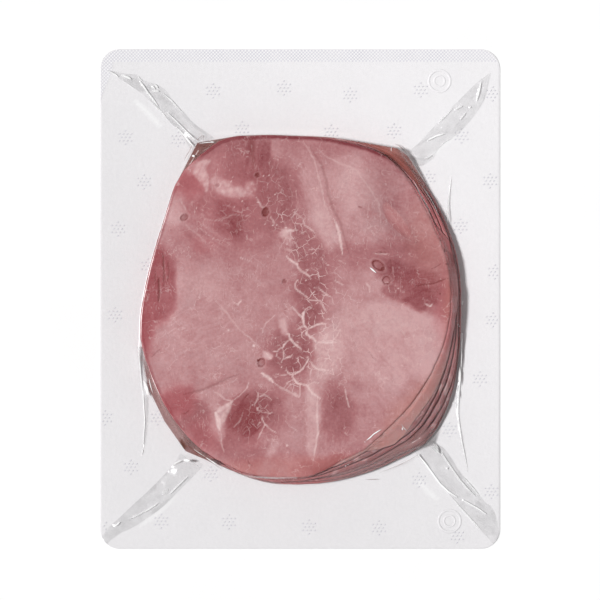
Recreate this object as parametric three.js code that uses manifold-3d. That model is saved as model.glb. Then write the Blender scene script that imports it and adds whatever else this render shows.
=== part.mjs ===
// A vacuum pack of sliced cooked ham, lying flat with its clear side up.
//
// Seven round slices lie in a leaning stack on a white backing sheet. A clear film is drawn down tight over
// the stack and lies flat on the rest of the sheet, with the same rounded outline. Where the film had too
// much width to lie smooth, it has folded into thin webs: four long ears run from the stack's corners to the
// pack's corners, and three short tucks leave the stack's sides. Two pairs of rings are pressed into the film.
//
// Millimetres, +Z up. The origin is the middle of the backing's underside, +X is the pack's right-hand side
// and +Y its top edge.

import * as THREE from "three";
import { mergeVertices } from "three/addons/utils/BufferGeometryUtils.js";
import Module from "manifold-3d";

const wasm = await Module();
wasm.setup();

// Driving dimensions.
const PACK_WIDTH = 160;
const PACK_LENGTH = 200;
const CORNER_RADIUS = 8;
const BACKING_THICKNESS = 0.25;
const FILM_THICKNESS = 0.25;
const SLICE_THICKNESS = 1.75;
const SLICE_RIM = 0.5; // the slices' edges are rounded off by this much
const CLEARANCE = 0.3; // between the slices' edges and the film
const FILM_WALL = 0.3; // the film's thickness down the stack's side
const FILM_FILLET = 1.2; // the film's curve from the stack's side to the flat part

// The stack's outline: how far it reaches from its centre every fifteen degrees, counter-clockwise from +X.
// The slices lean to the lower right, so the lowest one reaches past the top one there.
const STACK_CENTRE = new THREE.Vector2(0, -4);
const TOP_REACH = [
  59.2, 60.1, 62.1, 65.9, 69.6, 68.8, 68.4, 70.8, 73.4, 69.4, 64, 61.9,
  62.8, 64.2, 65.5, 67.4, 69, 68.6, 66.6, 62.1, 58.9, 58.2, 58.5, 58.9,
];
const LOWEST_REACH = [
  64.4, 65, 66.6, 69.8, 72.4, 69.8, 68.4, 70.4, 72.6, 67.9, 61.8, 59.3,
  59.8, 62.9, 66.5, 69.9, 71.4, 70.6, 69.4, 70, 71.4, 72.2, 70.3, 66.4,
];
// How far each slice has moved from the top outline (0) to the lowest one (1), from the top slice down.
const SLICE_LEAN = [0, 0.22, 0.42, 0.62, 0.76, 0.88, 1];
// The cut edges are a little wavy: two waves round the edge, each with its height and the turns it makes.
const EDGE_WAVES = [
  { height: 0.45, count: 3, shift: 2.1 },
  { height: 0.25, count: 8, shift: 1.3 },
];

// Where the taut film is pulled out past the slices, up to a height: one corner for each ear.
const FILM_CORNERS = [
  { at: [-41.2, 62.6], height: 9 },
  { at: [39.2, 60.4], height: 9 },
  { at: [-46, -61], height: 5.5 },
  { at: [50.5, -58], height: 7.25 },
];

// The film's folded webs. Each runs along the flat film from its root at the stack to its tip, and bows to
// its left by bow. widths are spread evenly from root to tip, and a web falls from its root's height to a
// low lying fold over the length given by fall.
const WEBS = [
  { root: [-35, 56], tip: [-78.5, 93], bow: -4, widths: [7, 9, 8, 6.4, 1.2], height: 9, fall: 9 },
  { root: [37, 53], tip: [78.5, 92], bow: -3, widths: [5, 8.6, 9, 7.4, 1.2], height: 9, fall: 8 },
  { root: [-40, -57], tip: [-78.5, -97], bow: 1.5, widths: [6, 8.6, 8.4, 7, 3], height: 7, fall: 8 },
  { root: [43, -54], tip: [78.5, -97], bow: 1.2, widths: [6, 9.6, 8.2, 8.6, 4], height: 8, fall: 9 },
  { root: [-61, -14], tip: [-63.5, -63], bow: -1.2, widths: [1.6, 3.6, 2.6, 1.4, 0.6], height: 6, fall: 14 },
  { root: [61, -28], tip: [66, -70], bow: 1, widths: [3, 2.8, 1.8, 1.2, 0.6], height: 7, fall: 12 },
  { root: [57, 24], tip: [60.5, 49], bow: 0.4, widths: [1.6, 1.6, 1.2, 0.8, 0.5], height: 5, fall: 8 },
];
const WEB_STEPS = 14;
const WEB_LYING_HEIGHT = 1.1; // of an ear's crest over the flat film, away from the stack
const WEB_SECTION = [
  [1, 0],
  [0.72, 0.62],
  [0.3, 1],
  [-0.45, 0.86],
  [-0.85, 0.5],
  [-1, 0],
]; // across and up, as shares of the half width and the height

// The rings pressed into the film, in two pairs.
const RING_CENTRES = [
  [56.4, 87.2],
  [59.8, -88.8],
];
const RING_RADII = [4.5, 1.9];
const RING_WIDTH = 0.7;
const RING_HEIGHT = 0.25;

// How finely the curves are divided.
const OUTLINE_STEPS = 72;
const CORNER_STEPS = 8;
const RING_STEPS = 28;

// Places that follow from the dimensions above.
const BACKING_TOP = BACKING_THICKNESS;
const FLAT_FILM_TOP = BACKING_TOP + FILM_THICKNESS;
const SLICE_COUNT = SLICE_LEAN.length;
const STACK_TOP = BACKING_TOP + SLICE_COUNT * SLICE_THICKNESS;
const PACK_TOP = STACK_TOP + FILM_THICKNESS;
const sliceTop = (slice) => STACK_TOP - slice * SLICE_THICKNESS; // slice 0 is the top one
const sliceBottom = (slice) => sliceTop(slice) - SLICE_THICKNESS;

// A smooth closed curve through evenly spaced values: its value at a share of one whole turn.
function cyclic(values, share) {
  const place = THREE.MathUtils.euclideanModulo(share, 1) * values.length;
  const at = Math.floor(place);
  const near = (step) => values[(at + step + values.length) % values.length];
  const t = place - at;
  const slopeHere = (near(1) - near(-1)) / 2;
  const slopeNext = (near(2) - near(0)) / 2;
  const rise = near(1) - near(0);
  const square = 3 * rise - 2 * slopeHere - slopeNext;
  const cube = slopeHere + slopeNext - 2 * rise;
  return near(0) + t * (slopeHere + t * (square + t * cube));
}

// How far a slice reaches from the stack's centre, at a share of a turn.
function sliceReach(slice, share) {
  const lean = SLICE_LEAN[slice];
  const mean = THREE.MathUtils.lerp(cyclic(TOP_REACH, share), cyclic(LOWEST_REACH, share), lean);
  const wave = EDGE_WAVES.reduce(
    (sum, { height, count, shift }) => sum + height * Math.sin(2 * Math.PI * count * share + shift * slice),
    0,
  );
  return mean + (slice === 0 ? 0 : wave);
}

// A closed level ring round the stack, from a function of the share of a turn.
function ring(height, reachAt) {
  return Array.from({ length: OUTLINE_STEPS }, (_, step) => {
    const share = step / OUTLINE_STEPS;
    const reach = reachAt(share);
    const angle = 2 * Math.PI * share;
    return new THREE.Vector3(
      STACK_CENTRE.x + reach * Math.cos(angle),
      STACK_CENTRE.y + reach * Math.sin(angle),
      height,
    );
  });
}

// The shortest closed line round points in the XY plane, counter-clockwise, as a taut film runs.
function tautLine(points) {
  const sorted = [...points].sort((a, b) => a.x - b.x || a.y - b.y);
  const half = (ordered) => {
    const line = [];
    for (const p of ordered) {
      while (line.length > 1) {
        const [a, b] = line.slice(-2);
        if ((b.x - a.x) * (p.y - a.y) - (b.y - a.y) * (p.x - a.x) > 0) break;
        line.pop();
      }
      line.push(p);
    }
    return line.slice(0, -1);
  };
  return [...half(sorted), ...half(sorted.reverse())];
}

// How far a closed line round the stack's centre reaches, at a share of a turn.
function lineReach(line, share) {
  const toward = new THREE.Vector2(Math.cos(2 * Math.PI * share), Math.sin(2 * Math.PI * share));
  let reach = 0;
  line.forEach((point, index) => {
    const from = new THREE.Vector2(point.x, point.y).sub(STACK_CENTRE);
    const next = line[(index + 1) % line.length];
    const along = new THREE.Vector2(next.x, next.y).sub(STACK_CENTRE).sub(from);
    const turn = toward.cross(along);
    const place = from.cross(toward) / turn;
    if (turn > 0 && place >= -1e-9 && place <= 1 + 1e-9) reach = Math.max(reach, from.cross(along) / turn);
  });
  return reach;
}

// How far the film reaches where it passes the upper edge of a slice, as a function of the share of a turn.
// It is taut round that slice, every slice above and the corners that are pulled out as high as this.
function filmReach(slice) {
  const corners = FILM_CORNERS.filter(({ height }) => height >= sliceTop(slice));
  const held = corners.map(({ at }) => new THREE.Vector2(...at));
  for (let above = 0; above <= slice; above++)
    held.push(...ring(0, (share) => sliceReach(above, share) + CLEARANCE + FILM_WALL));
  const line = tautLine(held);
  return (share) => lineReach(line, share);
}

// A closed skin over rings with equal numbers of points, each ring turning right-handed about the way that
// the rings follow each other, with a fan of triangles over each end.
function loft(rings) {
  const sides = rings[0].length;
  const middle = (points) => points.reduce((sum, p) => sum.add(p), new THREE.Vector3()).divideScalar(sides);
  const points = [...rings.flat(), middle(rings[0]), middle(rings[rings.length - 1])];
  const [firstEnd, lastEnd] = [points.length - 2, points.length - 1];
  const index = [];
  for (let side = 0; side < sides; side++) {
    const next = (side + 1) % sides;
    for (let row = 0; row < rings.length - 1; row++) {
      const [a, b] = [row * sides + side, row * sides + next];
      index.push(a, b, b + sides, a, b + sides, a + sides);
    }
    const last = (rings.length - 1) * sides;
    index.push(next, side, firstEnd, last + side, last + next, lastEnd);
  }
  return new THREE.BufferGeometry().setFromPoints(points).setIndex(index);
}

// A solid from a closed geometry, and a flat-shaded geometry from a solid.
function solidFrom(geometry) {
  const bare = geometry.clone();
  bare.deleteAttribute("normal");
  bare.deleteAttribute("uv");
  const merged = mergeVertices(bare, 1e-4);
  return new wasm.Manifold(
    new wasm.Mesh({
      numProp: 3,
      vertProperties: new Float32Array(merged.attributes.position.array),
      triVerts: new Uint32Array(merged.index.array),
    }),
  );
}

function geometryFrom(solid) {
  const mesh = solid.getMesh();
  const position = new THREE.BufferAttribute(new Float32Array(mesh.vertProperties), mesh.numProp);
  const shared = new THREE.BufferGeometry().setAttribute("position", position);
  shared.setIndex(new THREE.BufferAttribute(new Uint32Array(mesh.triVerts), 1));
  const flat = shared.toNonIndexed();
  flat.computeVertexNormals();
  return flat;
}

// The pack's rounded rectangle, as a plate from one height to another.
function packPlate(bottom, top) {
  const [x, y] = [PACK_WIDTH / 2, PACK_LENGTH / 2];
  const r = CORNER_RADIUS;
  const outline = new THREE.Shape()
    .moveTo(x, y - r)
    .absarc(x - r, y - r, r, 0, Math.PI / 2)
    .absarc(r - x, y - r, r, Math.PI / 2, Math.PI)
    .absarc(r - x, r - y, r, Math.PI, 1.5 * Math.PI)
    .absarc(x - r, r - y, r, 1.5 * Math.PI, 2 * Math.PI);
  return new THREE.ExtrudeGeometry(outline, {
    depth: top - bottom,
    bevelEnabled: false,
    curveSegments: CORNER_STEPS,
  }).translate(0, 0, bottom);
}

// One slice of ham, flat on both faces and rounded at its rim.
function sliceGeometry(slice) {
  const [bottom, top] = [sliceBottom(slice), sliceTop(slice)];
  const full = (share) => sliceReach(slice, share);
  const drawnIn = (share) => full(share) - SLICE_RIM;
  return loft([
    ring(bottom, drawnIn),
    ring(bottom + SLICE_RIM, full),
    ring(top - SLICE_RIM, full),
    ring(top, drawnIn),
  ]);
}

// The room that a slice takes inside the film. The lowest one opens downwards, onto the backing.
function sliceRoom(slice) {
  const wide = (share) => sliceReach(slice, share) + CLEARANCE;
  const drawnIn = (share) => wide(share) - SLICE_RIM;
  const top = sliceTop(slice);
  const floor = slice === SLICE_COUNT - 1 ? -1 : sliceBottom(slice);
  const rings = [ring(floor, wide)];
  if (slice === 0) rings.push(ring(top - SLICE_RIM, wide), ring(top, drawnIn));
  else rings.push(ring(top, wide));
  return solidFrom(loft(rings));
}

// The outside of the film where it is drawn over the stack.
function filmDome() {
  const lowest = SLICE_COUNT - 1;
  const foot = filmReach(lowest);
  const head = filmReach(0);
  const spread = (extra) => (share) => foot(share) + extra;
  const rings = [
    ring(BACKING_TOP, spread(FILM_FILLET)),
    ring(FLAT_FILM_TOP, spread(FILM_FILLET)),
    ring(FLAT_FILM_TOP + FILM_FILLET / 2, spread(FILM_FILLET / 4)),
  ];
  for (let slice = lowest; slice > 0; slice--) rings.push(ring(sliceTop(slice), filmReach(slice)));
  rings.push(ring(STACK_TOP - SLICE_RIM, head));
  rings.push(ring(PACK_TOP, (share) => head(share) - SLICE_RIM - FILM_WALL));
  return solidFrom(loft(rings));
}

// One folded web of film, lying on the flat film from its root to its tip.
function webSolid({ root, tip, bow, widths, height, fall }) {
  const [start, end] = [new THREE.Vector2(...root), new THREE.Vector2(...tip)];
  const along = end.clone().sub(start);
  const toLeft = new THREE.Vector2(-along.y, along.x).normalize();
  const control = start.clone().add(end).divideScalar(2).addScaledVector(toLeft, 2 * bow);
  const path = new THREE.QuadraticBezierCurve(start, control, end);
  const length = path.getLength();
  const lying = Math.min(WEB_LYING_HEIGHT, widths[1] / 3);
  const sections = [];
  for (let step = 0; step <= WEB_STEPS; step++) {
    const t = step / WEB_STEPS;
    const centre = path.getPoint(t);
    const forward = path.getTangent(t);
    const place = Math.min(t * (widths.length - 1), widths.length - 1.001);
    const width = THREE.MathUtils.lerp(widths[Math.floor(place)], widths[Math.floor(place) + 1], place % 1);
    const crest = lying * (1 - 0.7 * t) + (height - lying) * Math.exp(-t * length / fall);
    sections.push(
      WEB_SECTION.map(([across, up]) => {
        const aside = (across * width) / 2;
        const z = BACKING_TOP + (up === 0 ? 0 : FILM_THICKNESS + up * crest);
        return new THREE.Vector3(centre.x - aside * forward.y, centre.y + aside * forward.x, z);
      }),
    );
  }
  return solidFrom(loft(sections));
}

// One low ridge of the rings that are pressed into the film.
function ringRidge([x, y], radius) {
  const [inner, outer] = [radius - RING_WIDTH / 2, radius + RING_WIDTH / 2];
  const [low, high] = [BACKING_TOP, FLAT_FILM_TOP + RING_HEIGHT];
  const slope = RING_WIDTH / 4;
  const profile = [
    new THREE.Vector2(inner, low),
    new THREE.Vector2(outer, low),
    new THREE.Vector2(outer, FLAT_FILM_TOP),
    new THREE.Vector2(outer - slope, high),
    new THREE.Vector2(inner + slope, high),
    new THREE.Vector2(inner, FLAT_FILM_TOP),
    new THREE.Vector2(inner, low),
  ];
  return solidFrom(new THREE.LatheGeometry(profile, RING_STEPS).rotateX(Math.PI / 2).translate(x, y, 0));
}

// The clear film, in one piece: flat part, drawn-up middle, webs and rings, hollowed out for the slices.
function filmGeometry() {
  let film = solidFrom(packPlate(BACKING_TOP, FLAT_FILM_TOP)).add(filmDome());
  for (const web of WEBS) film = film.add(webSolid(web));
  for (const centre of RING_CENTRES) for (const radius of RING_RADII) film = film.add(ringRidge(centre, radius));
  for (let slice = 0; slice < SLICE_COUNT; slice++) film = film.subtract(sliceRoom(slice));
  return geometryFrom(film.intersect(solidFrom(packPlate(BACKING_TOP, PACK_TOP))));
}

const backingMaterial = new THREE.MeshStandardMaterial({ color: 0xefeef0, roughness: 0.55, metalness: 0 });
const filmMaterial = new THREE.MeshStandardMaterial({
  color: 0xf3f6f7,
  roughness: 0.12,
  metalness: 0,
  transparent: true,
  opacity: 0.25,
});
const hamMaterial = new THREE.MeshStandardMaterial({ color: 0xbd8285, roughness: 0.35, metalness: 0 });

function named(name, geometry, material) {
  const mesh = new THREE.Mesh(geometry, material);
  mesh.name = name;
  return mesh;
}

const pack = new THREE.Group();
pack.add(named("backing_sheet", packPlate(0, BACKING_TOP), backingMaterial));
pack.add(named("clear_film", filmGeometry(), filmMaterial));
for (let slice = 0; slice < SLICE_COUNT; slice++)
  pack.add(named(`ham_slice_${slice + 1}`, sliceGeometry(slice), hamMaterial));

export default pack;
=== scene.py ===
"""A vacuum pack of sliced cooked ham, dressed around its frame.

Shapes are worked out in millimetres, with +X to the pack's right, +Y to its top edge and +Z out of the clear side,
and are brought to metres when a piece is finished.
"""

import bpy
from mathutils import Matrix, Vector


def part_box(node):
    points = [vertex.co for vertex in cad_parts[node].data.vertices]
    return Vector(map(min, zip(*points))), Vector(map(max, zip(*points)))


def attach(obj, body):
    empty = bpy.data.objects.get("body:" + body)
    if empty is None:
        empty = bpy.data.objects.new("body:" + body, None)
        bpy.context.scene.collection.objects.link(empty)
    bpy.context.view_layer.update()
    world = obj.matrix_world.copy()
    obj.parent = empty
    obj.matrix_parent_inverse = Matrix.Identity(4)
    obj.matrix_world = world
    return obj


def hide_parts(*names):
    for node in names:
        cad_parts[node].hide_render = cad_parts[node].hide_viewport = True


bl_info = {
    "name": "Sliced Ham Pack",
    "version": (1, 0, 0),
    "blender": (4, 5, 0),
    "location": "View3D > Sidebar > Ham Pack",
    "description": "Builds a vacuum pack of sliced cooked ham around its frame",
    "category": "Add Mesh",
}

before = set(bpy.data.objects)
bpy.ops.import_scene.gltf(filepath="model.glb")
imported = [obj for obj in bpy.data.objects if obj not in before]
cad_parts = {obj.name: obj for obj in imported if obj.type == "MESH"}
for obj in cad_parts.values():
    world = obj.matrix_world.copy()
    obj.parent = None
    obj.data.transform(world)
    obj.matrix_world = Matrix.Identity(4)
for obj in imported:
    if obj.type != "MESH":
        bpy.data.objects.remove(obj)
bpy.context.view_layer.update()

import math

import bmesh
import bpy
import numpy as np
from bpy.props import FloatProperty, FloatVectorProperty, IntProperty, PointerProperty
from mathutils import Matrix, Vector, geometry, noise

MM = 0.001


def node_box(node):
    """A frame node's lowest and highest corners, in millimetres."""
    return [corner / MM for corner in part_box(node)]


# Sizes that come from the frame.
SLICES = sorted(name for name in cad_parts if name.startswith("ham_slice_"))
SLICE_BOTTOMS = [node_box(name)[0].z for name in SLICES]
SLICE_TOPS = [node_box(name)[1].z for name in SLICES]
PACK_HALF = node_box("backing_sheet")[1].xy
BACKING_TOP = node_box("backing_sheet")[1].z
STACK_TOP = SLICE_TOPS[0]
PACK_TOP = node_box("clear_film")[1].z

# The pack's outline and the flat film.
CORNER_RADIUS = 8.0
FLAT_FILM_TOP = 0.5

# The stack's outline is told as a reach from this centre, at a share of a turn.
CENTRE = np.array([0.0, -4.0])
CAD_STEPS = 72
FINE_STEPS = 1440
FILM_STAND_OFF = 0.45  # from a slice's edge to the outside of the film
FILM_CLEARANCE = 0.3  # from a lower slice or the juices to the film over them
FILM_CORNERS = (  # x, y and the height up to which the film is pulled out there
    (-41.2, 62.6, 9.0),
    (39.2, 60.4, 9.0),
    (-46.0, -61.0, 5.5),
    (50.5, -58.0, 7.25),
)
FILM_PULLS = (  # other places where the film stands off the slices, told in the same way
    (43.5, 57.2, 5.5),
    (-64.2, -20.5, 4.0),
    (-60.4, -36.8, 4.0),
    (-54.3, -49.2, 4.0),
)

# How much farther out than in the frame an edge lies, in degrees round the centre and millimetres.
TOP_SHIFTS = (
    (0, 0.95), (10, 1.3), (20, 1.4), (25, 1.0), (30, 0.45), (40, -0.1), (60, 0.15), (75, 0.3), (85, 0.7), (95, 0.4),
    (105, 0.8), (110, 1.5), (115, 1.3), (120, 0.15), (125, 0.1), (130, 1.0), (135, 0.9), (140, 0.1), (145, -0.1),
    (165, 0.3), (175, 0.15), (190, 1.0), (200, 0.2), (220, 0), (235, -0.2), (245, -0.6), (250, 0), (265, -0.2),
    (270, 0.6), (275, 1.2), (285, 0.9), (290, 1.45), (295, 2.0), (300, 1.4), (305, 1.0), (310, 0.5), (320, 0),
    (330, -0.4), (340, -0.2), (350, 0.3),
)
SECOND_SHIFTS = (
    (0, 1.7), (10, 2.7), (20, 3.1), (25, 3.6), (32, 0.5), (40, 0), (120, -0.3), (126, -1.0), (132, -0.3), (140, 0),
    (205, -0.6), (215, -1.2), (228, -1.8), (240, -1.5), (255, -0.4), (280, 0), (290, 1.0), (295, 1.2), (300, 3.4),
    (305, 4.8), (310, 4.0), (315, 2.4), (320, 1.8), (330, 1.7), (340, 1.3), (350, 0.8),
)
LOWER_SHIFTS = (
    (0, -0.2), (10, 0.25), (20, 0.8), (30, 0.9), (40, 0.2), (48, 0), (58, -0.8), (68, 0), (118, 0), (126, -1.0),
    (134, 0), (200, 0), (212, -1.4), (228, -2.6), (240, -2.2), (252, -0.6), (262, 0), (303, 0), (310, 0.9),
    (316, 1.1), (322, 0.5), (330, 0), (355, -0.2),
)


# ---------------------------------------------------------------- shared sums


def srgb(red, green, blue):
    """A colour given in 0 to 255, as the light amounts that Blender's colours hold."""
    shares = (np.array([red, green, blue]) / 255).tolist()
    return tuple(c / 12.92 if c < 0.04045 else ((c + 0.055) / 1.055) ** 2.4 for c in shares)


def smooth(low, high, value):
    """0 below low, 1 above high, with an even slope between."""
    t = np.clip((value - low) / (high - low), 0, 1)
    return t * t * (3 - 2 * t)


def cyclic(values, turn):
    """A smooth closed curve through evenly spaced values, at shares of a whole turn."""
    values = np.asarray(values)
    place = np.mod(turn, 1) * len(values)
    at = np.floor(place).astype(int)
    t = place - at
    before, here, after, beyond = (values[(at + step) % len(values)] for step in (-1, 0, 1, 2))
    slope_here, slope_next, rise = (after - before) / 2, (beyond - here) / 2, after - here
    square = 3 * rise - 2 * slope_here - slope_next
    cube = slope_here + slope_next - 2 * rise
    return here + t * (slope_here + t * (square + t * cube))


def turn_of(points):
    """The share of a turn at which each point lies, seen from the stack's centre."""
    away = np.asarray(points)[:, :2] - CENTRE
    return np.mod(np.arctan2(away[:, 1], away[:, 0]) / (2 * np.pi), 1)


def round_the_centre(turn, reach):
    """Points at shares of a turn and reaches from the stack's centre."""
    angle = 2 * np.pi * turn
    return CENTRE + np.stack([np.cos(angle), np.sin(angle)], 1) * np.asarray(reach)[:, None]


def noise_at(points, size, seed, octaves=2):
    """Smooth noise between about -1 and 1 at each point, with features of that size."""
    points = np.asarray(points, float)
    if points.shape[1] == 2:
        points = np.column_stack([points, np.zeros(len(points))])
    shifted = points / size + np.array([17.3, -9.1, 5.7]) * (seed + 1)
    return np.array([noise.fractal(p, 1.0, 2.0, octaves) for p in shifted.tolist()])


def noise_round(turn, waves, seed):
    """Smooth noise round a closed outline, with about so many waves in a turn."""
    angle = 2 * np.pi * np.asarray(turn)
    circle = np.stack([np.cos(angle), np.sin(angle)], 1) * waves / np.pi
    return noise_at(circle, 1.0, seed)


def along_line(points, line):
    """The distance from each point to a line of straight runs, and the share of the line at the nearest place."""
    line = np.asarray(line, float)
    starts, runs = line[:-1], np.diff(line, axis=0)
    lengths = np.linalg.norm(runs, axis=1)
    passed = np.concatenate([[0], np.cumsum(lengths)])
    best, share = np.full(len(points), np.inf), np.zeros(len(points))
    for start, run, length, before in zip(starts, runs, lengths, passed):
        t = np.clip(((points - start) @ run) / length**2, 0, 1)
        distance = np.linalg.norm(points - start - t[:, None] * run, axis=1)
        nearer = distance < best
        best[nearer] = distance[nearer]
        share[nearer] = (before + t[nearer] * length) / passed[-1]
    return best, share


def even_points(line, count):
    """So many evenly spaced points along a smooth curve through the given points."""
    line = np.asarray(line, float)
    place = np.linspace(0, len(line) - 1, 40 * len(line))
    at = np.minimum(place.astype(int), len(line) - 2)
    t = (place - at)[:, None]
    padded = np.vstack([2 * line[0] - line[1], line, 2 * line[-1] - line[-2]])
    before, here, after, beyond = (padded[at + step] for step in range(4))
    slope_here, slope_next, rise = (after - before) / 2, (beyond - here) / 2, after - here
    square = 3 * rise - 2 * slope_here - slope_next
    curve = here + t * (slope_here + t * (square + t * (slope_here + slope_next - 2 * rise)))
    passed = np.concatenate([[0], np.cumsum(np.linalg.norm(np.diff(curve, axis=0), axis=1))])
    even = np.linspace(0, passed[-1], count)
    return np.column_stack([np.interp(even, passed, curve[:, axis]) for axis in (0, 1)])


# ---------------------------------------------------------------- outlines


def taut_reach(points):
    """The reach of the shortest closed line round some points, in FINE_STEPS directions."""
    points = [Vector(p) for p in points]
    line = np.array([points[index] for index in geometry.convex_hull_2d(points)]) - CENTRE
    runs = np.roll(line, -1, axis=0) - line
    kept = np.linalg.norm(runs, axis=1) > 1e-6
    line, runs = line[kept], runs[kept]
    outward = np.stack([runs[:, 1], -runs[:, 0]], 1)
    depth = (outward * line).sum(1)
    outward, depth = outward * np.sign(depth)[:, None], np.abs(depth)
    angle = 2 * np.pi * np.arange(FINE_STEPS) / FINE_STEPS
    facing = np.stack([np.cos(angle), np.sin(angle)], 1) @ outward.T
    return np.where(facing > 1e-9, depth / np.maximum(facing, 1e-9), np.inf).min(1)


def at_turn(fine, turn):
    """The value of a list in FINE_STEPS directions, at shares of a turn."""
    place = np.mod(turn, 1) * FINE_STEPS
    at = np.floor(place).astype(int) % FINE_STEPS
    t = place - np.floor(place)
    return fine[at] * (1 - t) + fine[(at + 1) % FINE_STEPS] * t


def cad_reach(node):
    """How far a slice of the frame reaches from the stack's centre, in CAD_STEPS directions."""
    points = np.array([v.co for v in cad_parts[node].data.vertices])[:, :2] / MM
    steps = np.rint(turn_of(points) * CAD_STEPS).astype(int) % CAD_STEPS
    reach = np.zeros(CAD_STEPS)
    np.maximum.at(reach, steps, np.linalg.norm(points - CENTRE, axis=1))
    return reach


def pack_outline(step_angle=6):
    """The pack's rounded rectangle, as points all round it."""
    points = []
    for turn, (sx, sy) in enumerate(((1, 1), (-1, 1), (-1, -1), (1, -1))):
        middle = np.array([sx * (PACK_HALF.x - CORNER_RADIUS), sy * (PACK_HALF.y - CORNER_RADIUS)])
        for degrees in range(90 * turn, 90 * turn + 91, step_angle):
            angle = math.radians(degrees)
            points.append(middle + CORNER_RADIUS * np.array([math.cos(angle), math.sin(angle)]))
    return points


def keep_on_pack(points, margin=0.0):
    """Points moved in onto the pack's rounded rectangle where they lie outside it."""
    half = np.array(PACK_HALF) - CORNER_RADIUS
    inner = np.clip(points, -half, half)
    away = points - inner
    far = np.linalg.norm(away, axis=1, keepdims=True)
    room = CORNER_RADIUS - margin
    return inner + away * np.minimum(1, room / np.maximum(far, 1e-9))


CAD_REACH = [cad_reach(name) for name in SLICES]
FINE_TURNS = np.arange(FINE_STEPS) / FINE_STEPS
PACK_REACH = taut_reach(pack_outline())


def even_reach(index, turn):
    """How far a slice reaches at shares of a turn."""
    degrees, shifts = zip(*(TOP_SHIFTS, SECOND_SHIFTS, *(LOWER_SHIFTS,) * (len(SLICES) - 2))[index])
    return cyclic(CAD_REACH[index], turn) + np.interp(np.mod(turn, 1) * 360, degrees, shifts, period=360)


def slice_reach(index, turn):
    """The same with the slice's slightly ragged cut edge."""
    wavy = 0.16 * noise_round(turn, 34, 40 + index)
    nicked = 0.08 * noise_round(turn, 110, 60 + index)
    return even_reach(index, turn) + wavy + nicked


def film_levels():
    """The heights at which the film's outline is known, from the foot up, and its reach at each."""
    heights, reaches = [], []
    for index in reversed(range(len(SLICES))):
        held = [(x, y) for x, y, height in FILM_CORNERS + FILM_PULLS if height >= SLICE_TOPS[index]]
        for above in range(index + 1):
            turn = FINE_TURNS[::4]
            reach = cyclic(CAD_REACH[above], turn) if above == 1 else even_reach(above, turn)
            close = smooth(0.13, 0.09, np.abs(turn - 0.445))
            held.extend(round_the_centre(turn, reach + FILM_STAND_OFF * (1 - 0.6 * close)))
        heights.append(SLICE_TOPS[index])
        reaches.append(taut_reach(held))
    return np.array(heights), np.array(reaches)


FILM_HEIGHTS, FILM_REACHES = film_levels()


def film_reach(height, turn):
    """The film's reach at a height, at shares of a turn."""
    place = np.interp(height, FILM_HEIGHTS, np.arange(len(FILM_HEIGHTS)))
    low = int(min(place, len(FILM_HEIGHTS) - 2))
    t = place - low
    return at_turn(FILM_REACHES[low] * (1 - t) + FILM_REACHES[low + 1] * t, turn)


def film_height(points):
    """The height at which the film passes over each point."""
    turn = turn_of(points)
    reach = np.linalg.norm(np.asarray(points)[:, :2] - CENTRE, axis=1)
    height = np.full(len(turn), FILM_HEIGHTS[0])
    for low in range(len(FILM_HEIGHTS) - 1):
        wide, narrow = at_turn(FILM_REACHES[low], turn), at_turn(FILM_REACHES[low + 1], turn)
        climb = np.clip((wide - reach) / np.maximum(wide - narrow, 0.05), 0, 1)
        there = FILM_HEIGHTS[low] + climb * (FILM_HEIGHTS[low + 1] - FILM_HEIGHTS[low])
        height = np.where(reach < wide, there, height)
    return height


def sag(points):
    """How much of its height the stack has lost at each place, because the film presses it down."""
    x, y = points[:, 0], points[:, 1]
    left_side = 0.09 * smooth(-44, -62, x) * smooth(-46, -26, y) * smooth(52, 30, y)
    top_left = 0.06 * smooth(26, 4, np.hypot(x + 46, y - 58))
    top_right = 0.26 * smooth(28, 8, np.hypot(x - 50, y - 40))
    waves = 0.022 * (1 + noise_at(points[:, :2], 24, 3)) / 2 + 0.01 * (1 + noise_at(points[:, :2], 8, 4)) / 2
    return left_side + top_left + top_right + waves


def settle(points):
    """Points of the stack or its film, lowered by the sag of their place."""
    settled = np.array(points, float)
    over = np.maximum(settled[:, 2] - FLAT_FILM_TOP, 0)
    settled[:, 2] -= over * sag(settled)
    return settled


# ---------------------------------------------------------------- mesh helpers


def places(verts):
    return np.array([v.co for v in verts]).reshape(-1, 3)


def move(verts, points):
    for vert, point in zip(verts, np.asarray(points).tolist()):
        vert.co = point


def disc(bm, segments):
    """An even grid of squares, bent into a round disc of radius 1."""
    bmesh.ops.create_grid(bm, x_segments=segments, y_segments=segments, size=1)
    flat = places(bm.verts)
    x, y = flat[:, 0], flat[:, 1]
    flat[:, 0], flat[:, 1] = x * np.sqrt(1 - y * y / 2), y * np.sqrt(1 - x * x / 2)
    move(bm.verts, flat)


def open_edges(bm):
    return [edge for edge in bm.edges if edge.is_boundary]


def add_ring(bm, edges, reach_at, height):
    """Extrudes the open edges to a new ring, told by its reach at a share of a turn and its height."""
    made = bmesh.ops.extrude_edge_only(bm, edges=edges)["geom"]
    verts = [part for part in made if isinstance(part, bmesh.types.BMVert)]
    turn = turn_of(places(verts))
    rim = round_the_centre(turn, reach_at(turn))
    move(verts, np.column_stack([rim, np.broadcast_to(height, len(verts))]))
    return [part for part in made if isinstance(part, bmesh.types.BMEdge) and part.is_boundary]


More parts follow.
